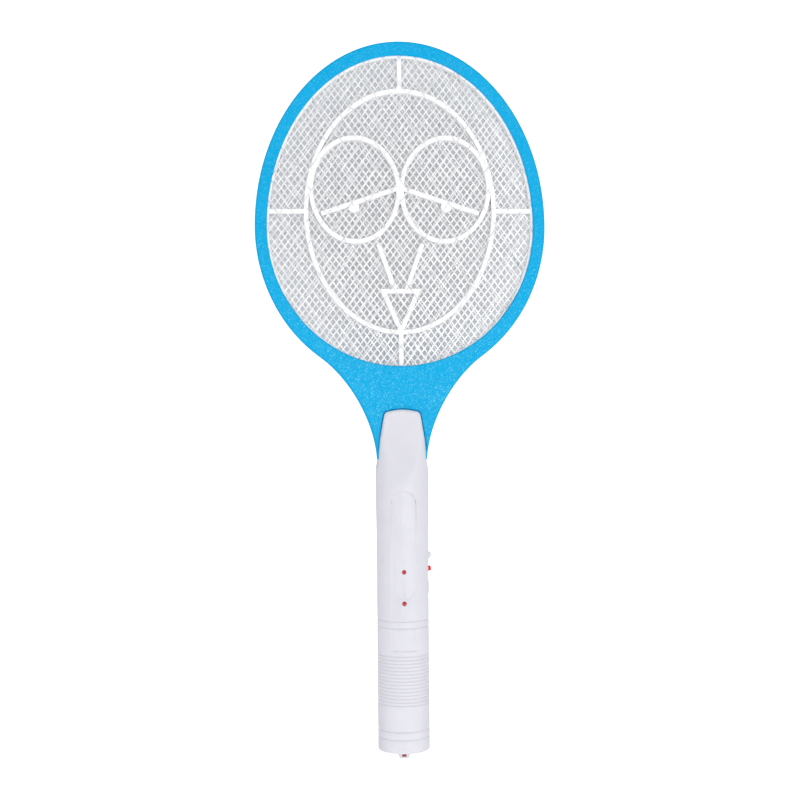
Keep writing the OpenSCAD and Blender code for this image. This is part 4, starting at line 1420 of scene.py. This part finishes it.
class SWATTER_OT_indicators(bpy.types.Operator):
    """Build the two red indicators and the lamp under its hood"""

    bl_idname = "swatter.indicators"
    bl_label = "Indicators"

    def execute(self, context):
        dome = [(LED_R * math.cos(math.radians(a)), 3.6 + LED_R * math.sin(math.radians(a)))
                for a in range(0, 91, 10)]
        body = [(0, 0), (LED_R + 0.3, 0), (LED_R + 0.3, 0.8), (LED_R, 0.8)] + dome
        for word, z in LED_ZS.items():
            led = lathe(f"{word}_indicator", body, 48,
                        place=lambda a, b, h, z=z: (a, -12.4 - h, z + b))
            hand_over(led, "bat", "led_red", f"{word}_led")
        low, high = LAMP_Z
        wedge = [(15.6, low + 0.9), (GRIP_R + 0.1, low + 1.1), (18.6, high - 2.5), (19.0, high - 1.4),
                 (18.7, high - 0.7), (17.8, high - 0.1), (15.6, high)]
        hood = carved(prism("lamp_cowl", wedge, -2.6, 2.6),
                      rod_up("lamp_bore", (LAMP_X, 0), low - 1, high - 1.2, LED_R + 0.15))
        hand_over(edges_rounded(hood, 0.0004, 3), "bat", "shell_lavender", "lamp_hood")
        lens = [(0, 0), (LED_R, 0), (LED_R, 2.0), (1.15, 2.6), (0.8, 3.0), (0, 3.0)]
        lamp = lathe("lamp_lens", lens, 48,
                     place=lambda a, b, h: (LAMP_X + a, b, LAMP_Z[0] + 0.9 + h))
        hand_over(lamp, "bat", "led_clear", "lamp_led")
        return {"FINISHED"}


def slab(half_y, low, high, radius):
    """A rounded rectangle across the push direction: (y, z) points."""
    return rounded_block(2 * half_y, low, high, radius)


class SWATTER_OT_controls(bpy.types.Operator):
    """Build the red push button and the ribbed slide knob"""

    bl_idname = "swatter.controls"
    bl_label = "Controls"

    def execute(self, context):
        skin = Skin()
        rows = ((13.2, 0.9), (14.2, 0.9), (14.2, 0), (18.1, 0), (18.4, -0.15), (18.55, -0.4),
                (18.6, -0.8))
        rings = []
        for x, grow in rows:
            outline = slab(2.5 + grow, BUTTON_Z - 1.5 - grow, BUTTON_Z + 1.5 + grow, 0.5)
            rings.append([(x, y, z) for y, z in outline])
        first, last = skin.loft(rings)
        skin.fill(first)
        skin.fill(last)
        hand_over(skin.build("push_button"), "zap_button", "button_red", "zap_button")
        knob = edges_rounded(cad_copy("slide_knob", "mode_slider"), 0.00012, 2)
        hand_over(knob, "mode_slider", "shell_lavender", "mode_slider")
        return {"FINISHED"}


class SWATTER_OT_plug(bpy.types.Operator):
    """Build the sliding plug: its pins and its carrier with the thumb pad"""

    bl_idname = "swatter.plug"
    bl_label = "Plug"

    def execute(self, context):
        carrier = edges_rounded(cad_copy("plug_slide", "plug_carrier"), 0.0002, 2)
        hand_over(carrier, "plug", "shell_lavender", "plug_carrier")
        low, high = -0.8, 27.2
        tip = [(0, low), (0.9, low), (1.35, low + 0.12), (1.75, low + 0.45), (PIN_R, low + 1.0)]
        for word, x in (("left", -PIN_X), ("right", PIN_X)):
            pin = lathe(f"{word}_pin", tip + [(PIN_R, high), (0, high)], 40,
                        place=lambda a, b, h, x=x: (x + a, b, h))
            hand_over(pin, "plug", "pin_nickel", *(["plug_pins"] if x > 0 else []))
        return {"FINISHED"}


class SWATTER_OT_inside(bpy.types.Operator):
    """Give every CAD node its own finish, the inner parts among them"""

    bl_idname = "swatter.inside"
    bl_label = "Inner parts"

    def execute(self, context):
        for part in frame["record"]["subparts"]:
            mesh = frame["nodes"][part["node"]].data
            mesh.materials.clear()
            mesh.materials.append(finish(part["material_slot"]))
        return {"FINISHED"}


# ---- The stage ----

def stage_material(name, glow, real_glow=0.0, shade_glow=None):
    """Matt white paint, lit from within. Where a shade level is given, its glow fades to it in an egg
    behind the head: a painted shade, which shows grey through the grids.
    """
    material, tree, surface, place = new_material(name)
    skin = effect(tree, moulded_skin, place, Ripple=0.3, Speck=0.004)
    tree.links.new(blend_of(tree, skin["Cloud"], (0.7, 0.7, 0.71), (0.73, 0.73, 0.73)),
                   surface.inputs["Base Color"])
    surface.inputs["Roughness"].default_value = 0.9
    surface.inputs["Specular IOR Level"].default_value = 0
    surface.inputs["Emission Color"].default_value = (1, 1, 1, 1)
    around = glow
    # Painted shade: behind the head's opening the glow falls to the shade level, so the wall reads
    # grey through the grids.
    if shade_glow is not None:
        where = add_node(tree, "ShaderNodeSeparateXYZ", {"Vector": place}).outputs
        across = maths(tree, "DIVIDE", maths(tree, "SUBTRACT", where["X"], SHADE["x"]), SHADE["half"])
        height = maths(tree, "SUBTRACT", where["Z"], SHADE["z"])
        up = maths(tree, "DIVIDE", maths(tree, "MAXIMUM", height, 0.0), SHADE["up"])
        down = maths(tree, "DIVIDE", maths(tree, "MINIMUM", height, 0.0), SHADE["down"])
        away = add_node(tree, "ShaderNodeVectorMath", {
            0: combine(tree, across, up, down)}, operation="LENGTH").outputs["Value"]
        around = spread(tree, away, 1.0, 1.06, shade_glow, glow)
    seen = add_node(tree, "ShaderNodeLightPath").outputs["Is Camera Ray"]
    tree.links.new(spread(tree, seen, 0, 1, real_glow, around), surface.inputs["Emission Strength"])
    clear = add_node(tree, "ShaderNodeBsdfTransparent")
    side = add_node(tree, "ShaderNodeNewGeometry").outputs["Backfacing"]
    mix = add_node(tree, "ShaderNodeMixShader", {
        0: side, 1: surface.outputs[0], 2: clear.outputs[0]})
    tree.links.new(mix.outputs[0], tree.nodes["Material Output"].inputs["Surface"])
    return material


def sheet_of(name, profile, half_x, material):
    """A stage sheet from (y, z) points, as wide as twice half_x, in metres."""
    points = [(x, y, z) for x in (-half_x, half_x) for y, z in profile]
    count = len(profile)
    faces = [(i, count + i, count + i + 1, i + 1) for i in range(count - 1)]
    mesh = bpy.data.meshes.new(name)
    mesh.from_pydata(points, [], faces)
    mesh.shade_smooth()
    mesh.materials.append(material)
    made = bpy.data.objects.new(name, mesh)
    bpy.context.scene.collection.objects.link(made)
    made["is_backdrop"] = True
    return made


def area_light(name, at, target, size, power):
    """A soft square light that faces a target."""
    light = bpy.data.lights.new(name, "AREA")
    light.shape = "SQUARE"
    light.size = size
    light.energy = power
    made = bpy.data.objects.new(name, light)
    made.location = at
    made.rotation_euler = (Vector(target) - Vector(at)).to_track_quat("-Z", "Y").to_euler()
    bpy.context.scene.collection.objects.link(made)


class SWATTER_OT_stage(bpy.types.Operator):
    """Set the floor, the wall, the lights and the camera"""

    bl_idname = "swatter.stage"
    bl_label = "Stage"

    def execute(self, context):
        scene = context.scene
        stage = scene.swatter_stage
        floor, wall = stage.floor_z, HALF_T * MM + stage.wall_gap
        foot = wall - WALL_BEND
        profile = [(foot, floor)]
        for a in range(10, 91, 10):
            t = math.radians(a)
            profile.append((foot + WALL_BEND * math.sin(t), floor + WALL_BEND * (1 - math.cos(t))))
        profile.append((wall, WALL_TOP))
        sheet_of("stage_floor", [(FLOOR_FRONT, floor), (foot, floor)], STAGE_HALF,
                 stage_material("floor_white", stage.wall_glow, stage.floor_glow))
        sheet_of("stage_wall", profile, STAGE_HALF,
                 stage_material("wall_white", stage.wall_glow, shade_glow=stage.wall_shade))
        world = bpy.data.worlds.new("studio")
        scene.world = world
        world.use_nodes = True
        tree = world.node_tree
        back = tree.nodes["Background"]
        back.inputs["Color"].default_value = (1, 1, 1, 1)
        back.inputs["Strength"].default_value = stage.room
        middle = (0, 0, 0.23)
        area_light("key", (0.55, -1.2, 0.02), middle, 0.9, stage.key)
        lens = bpy.data.cameras.new("camera")
        lens.lens = lens.sensor_width * stage.distance / stage.view_width
        camera = bpy.data.objects.new("camera", lens)
        turn = -stage.around
        aside = Vector((math.cos(turn), math.sin(turn), 0)) * CAMERA_ASIDE
        ahead = Vector((-math.sin(turn), math.cos(turn), 0)) * stage.distance
        camera.location = Vector((0, 0, stage.eye_z)) + aside - ahead
        camera.rotation_euler = (math.pi / 2, stage.roll, turn)
        scene.collection.objects.link(camera)
        scene.camera = camera
        scene.view_settings.view_transform = "Standard"
        return {"FINISHED"}


class SWATTER_PT_panel(bpy.types.Panel):
    """The swatter's sizes, colours, stage and builders"""

    bl_label = "Fly swatter"
    bl_idname = "SWATTER_PT_panel"
    bl_space_type = "VIEW_3D"
    bl_region_type = "UI"
    bl_category = "Swatter"

    def draw(self, context):
        layout = self.layout
        for group in ("swatter_sizes", "swatter_colours", "swatter_stage"):
            values = getattr(context.scene, group)
            for key in values.__annotations__:
                layout.prop(values, key)
        for builder in BUILDERS:
            layout.operator(builder.bl_idname)


BUILDERS = (
    SWATTER_OT_inside, SWATTER_OT_frames, SWATTER_OT_spacers, SWATTER_OT_grids,
    SWATTER_OT_screws, SWATTER_OT_handle, SWATTER_OT_butt, SWATTER_OT_indicators,
    SWATTER_OT_controls, SWATTER_OT_plug, SWATTER_OT_stage,
)
GROUPS = {
    "swatter_sizes": SwatterSizes,
    "swatter_colours": SwatterColours,
    "swatter_stage": SwatterStage,
}


def register():
    """Adds the settings, the builders and the panel."""
    for name, group in GROUPS.items():
        bpy.utils.register_class(group)
        setattr(bpy.types.Scene, name, PointerProperty(type=group))
    for builder in BUILDERS:
        bpy.utils.register_class(builder)
    bpy.utils.register_class(SWATTER_PT_panel)


def unregister():
    """Takes the panel, the builders and the settings away."""
    bpy.utils.unregister_class(SWATTER_PT_panel)
    for builder in reversed(BUILDERS):
        bpy.utils.unregister_class(builder)
    for name, group in GROUPS.items():
        delattr(bpy.types.Scene, name)
        bpy.utils.unregister_class(group)


def main():
    """Builds everything in order."""
    register()
    for builder in BUILDERS:
        area, name = builder.bl_idname.split(".")
        getattr(getattr(bpy.ops, area), name)()
    boxes = {"cad": CAD_BOX, "visual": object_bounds()}
    {key: [list(corner) for corner in ends] for key, ends in boxes.items()}


if __name__ == "__main__":
    main()
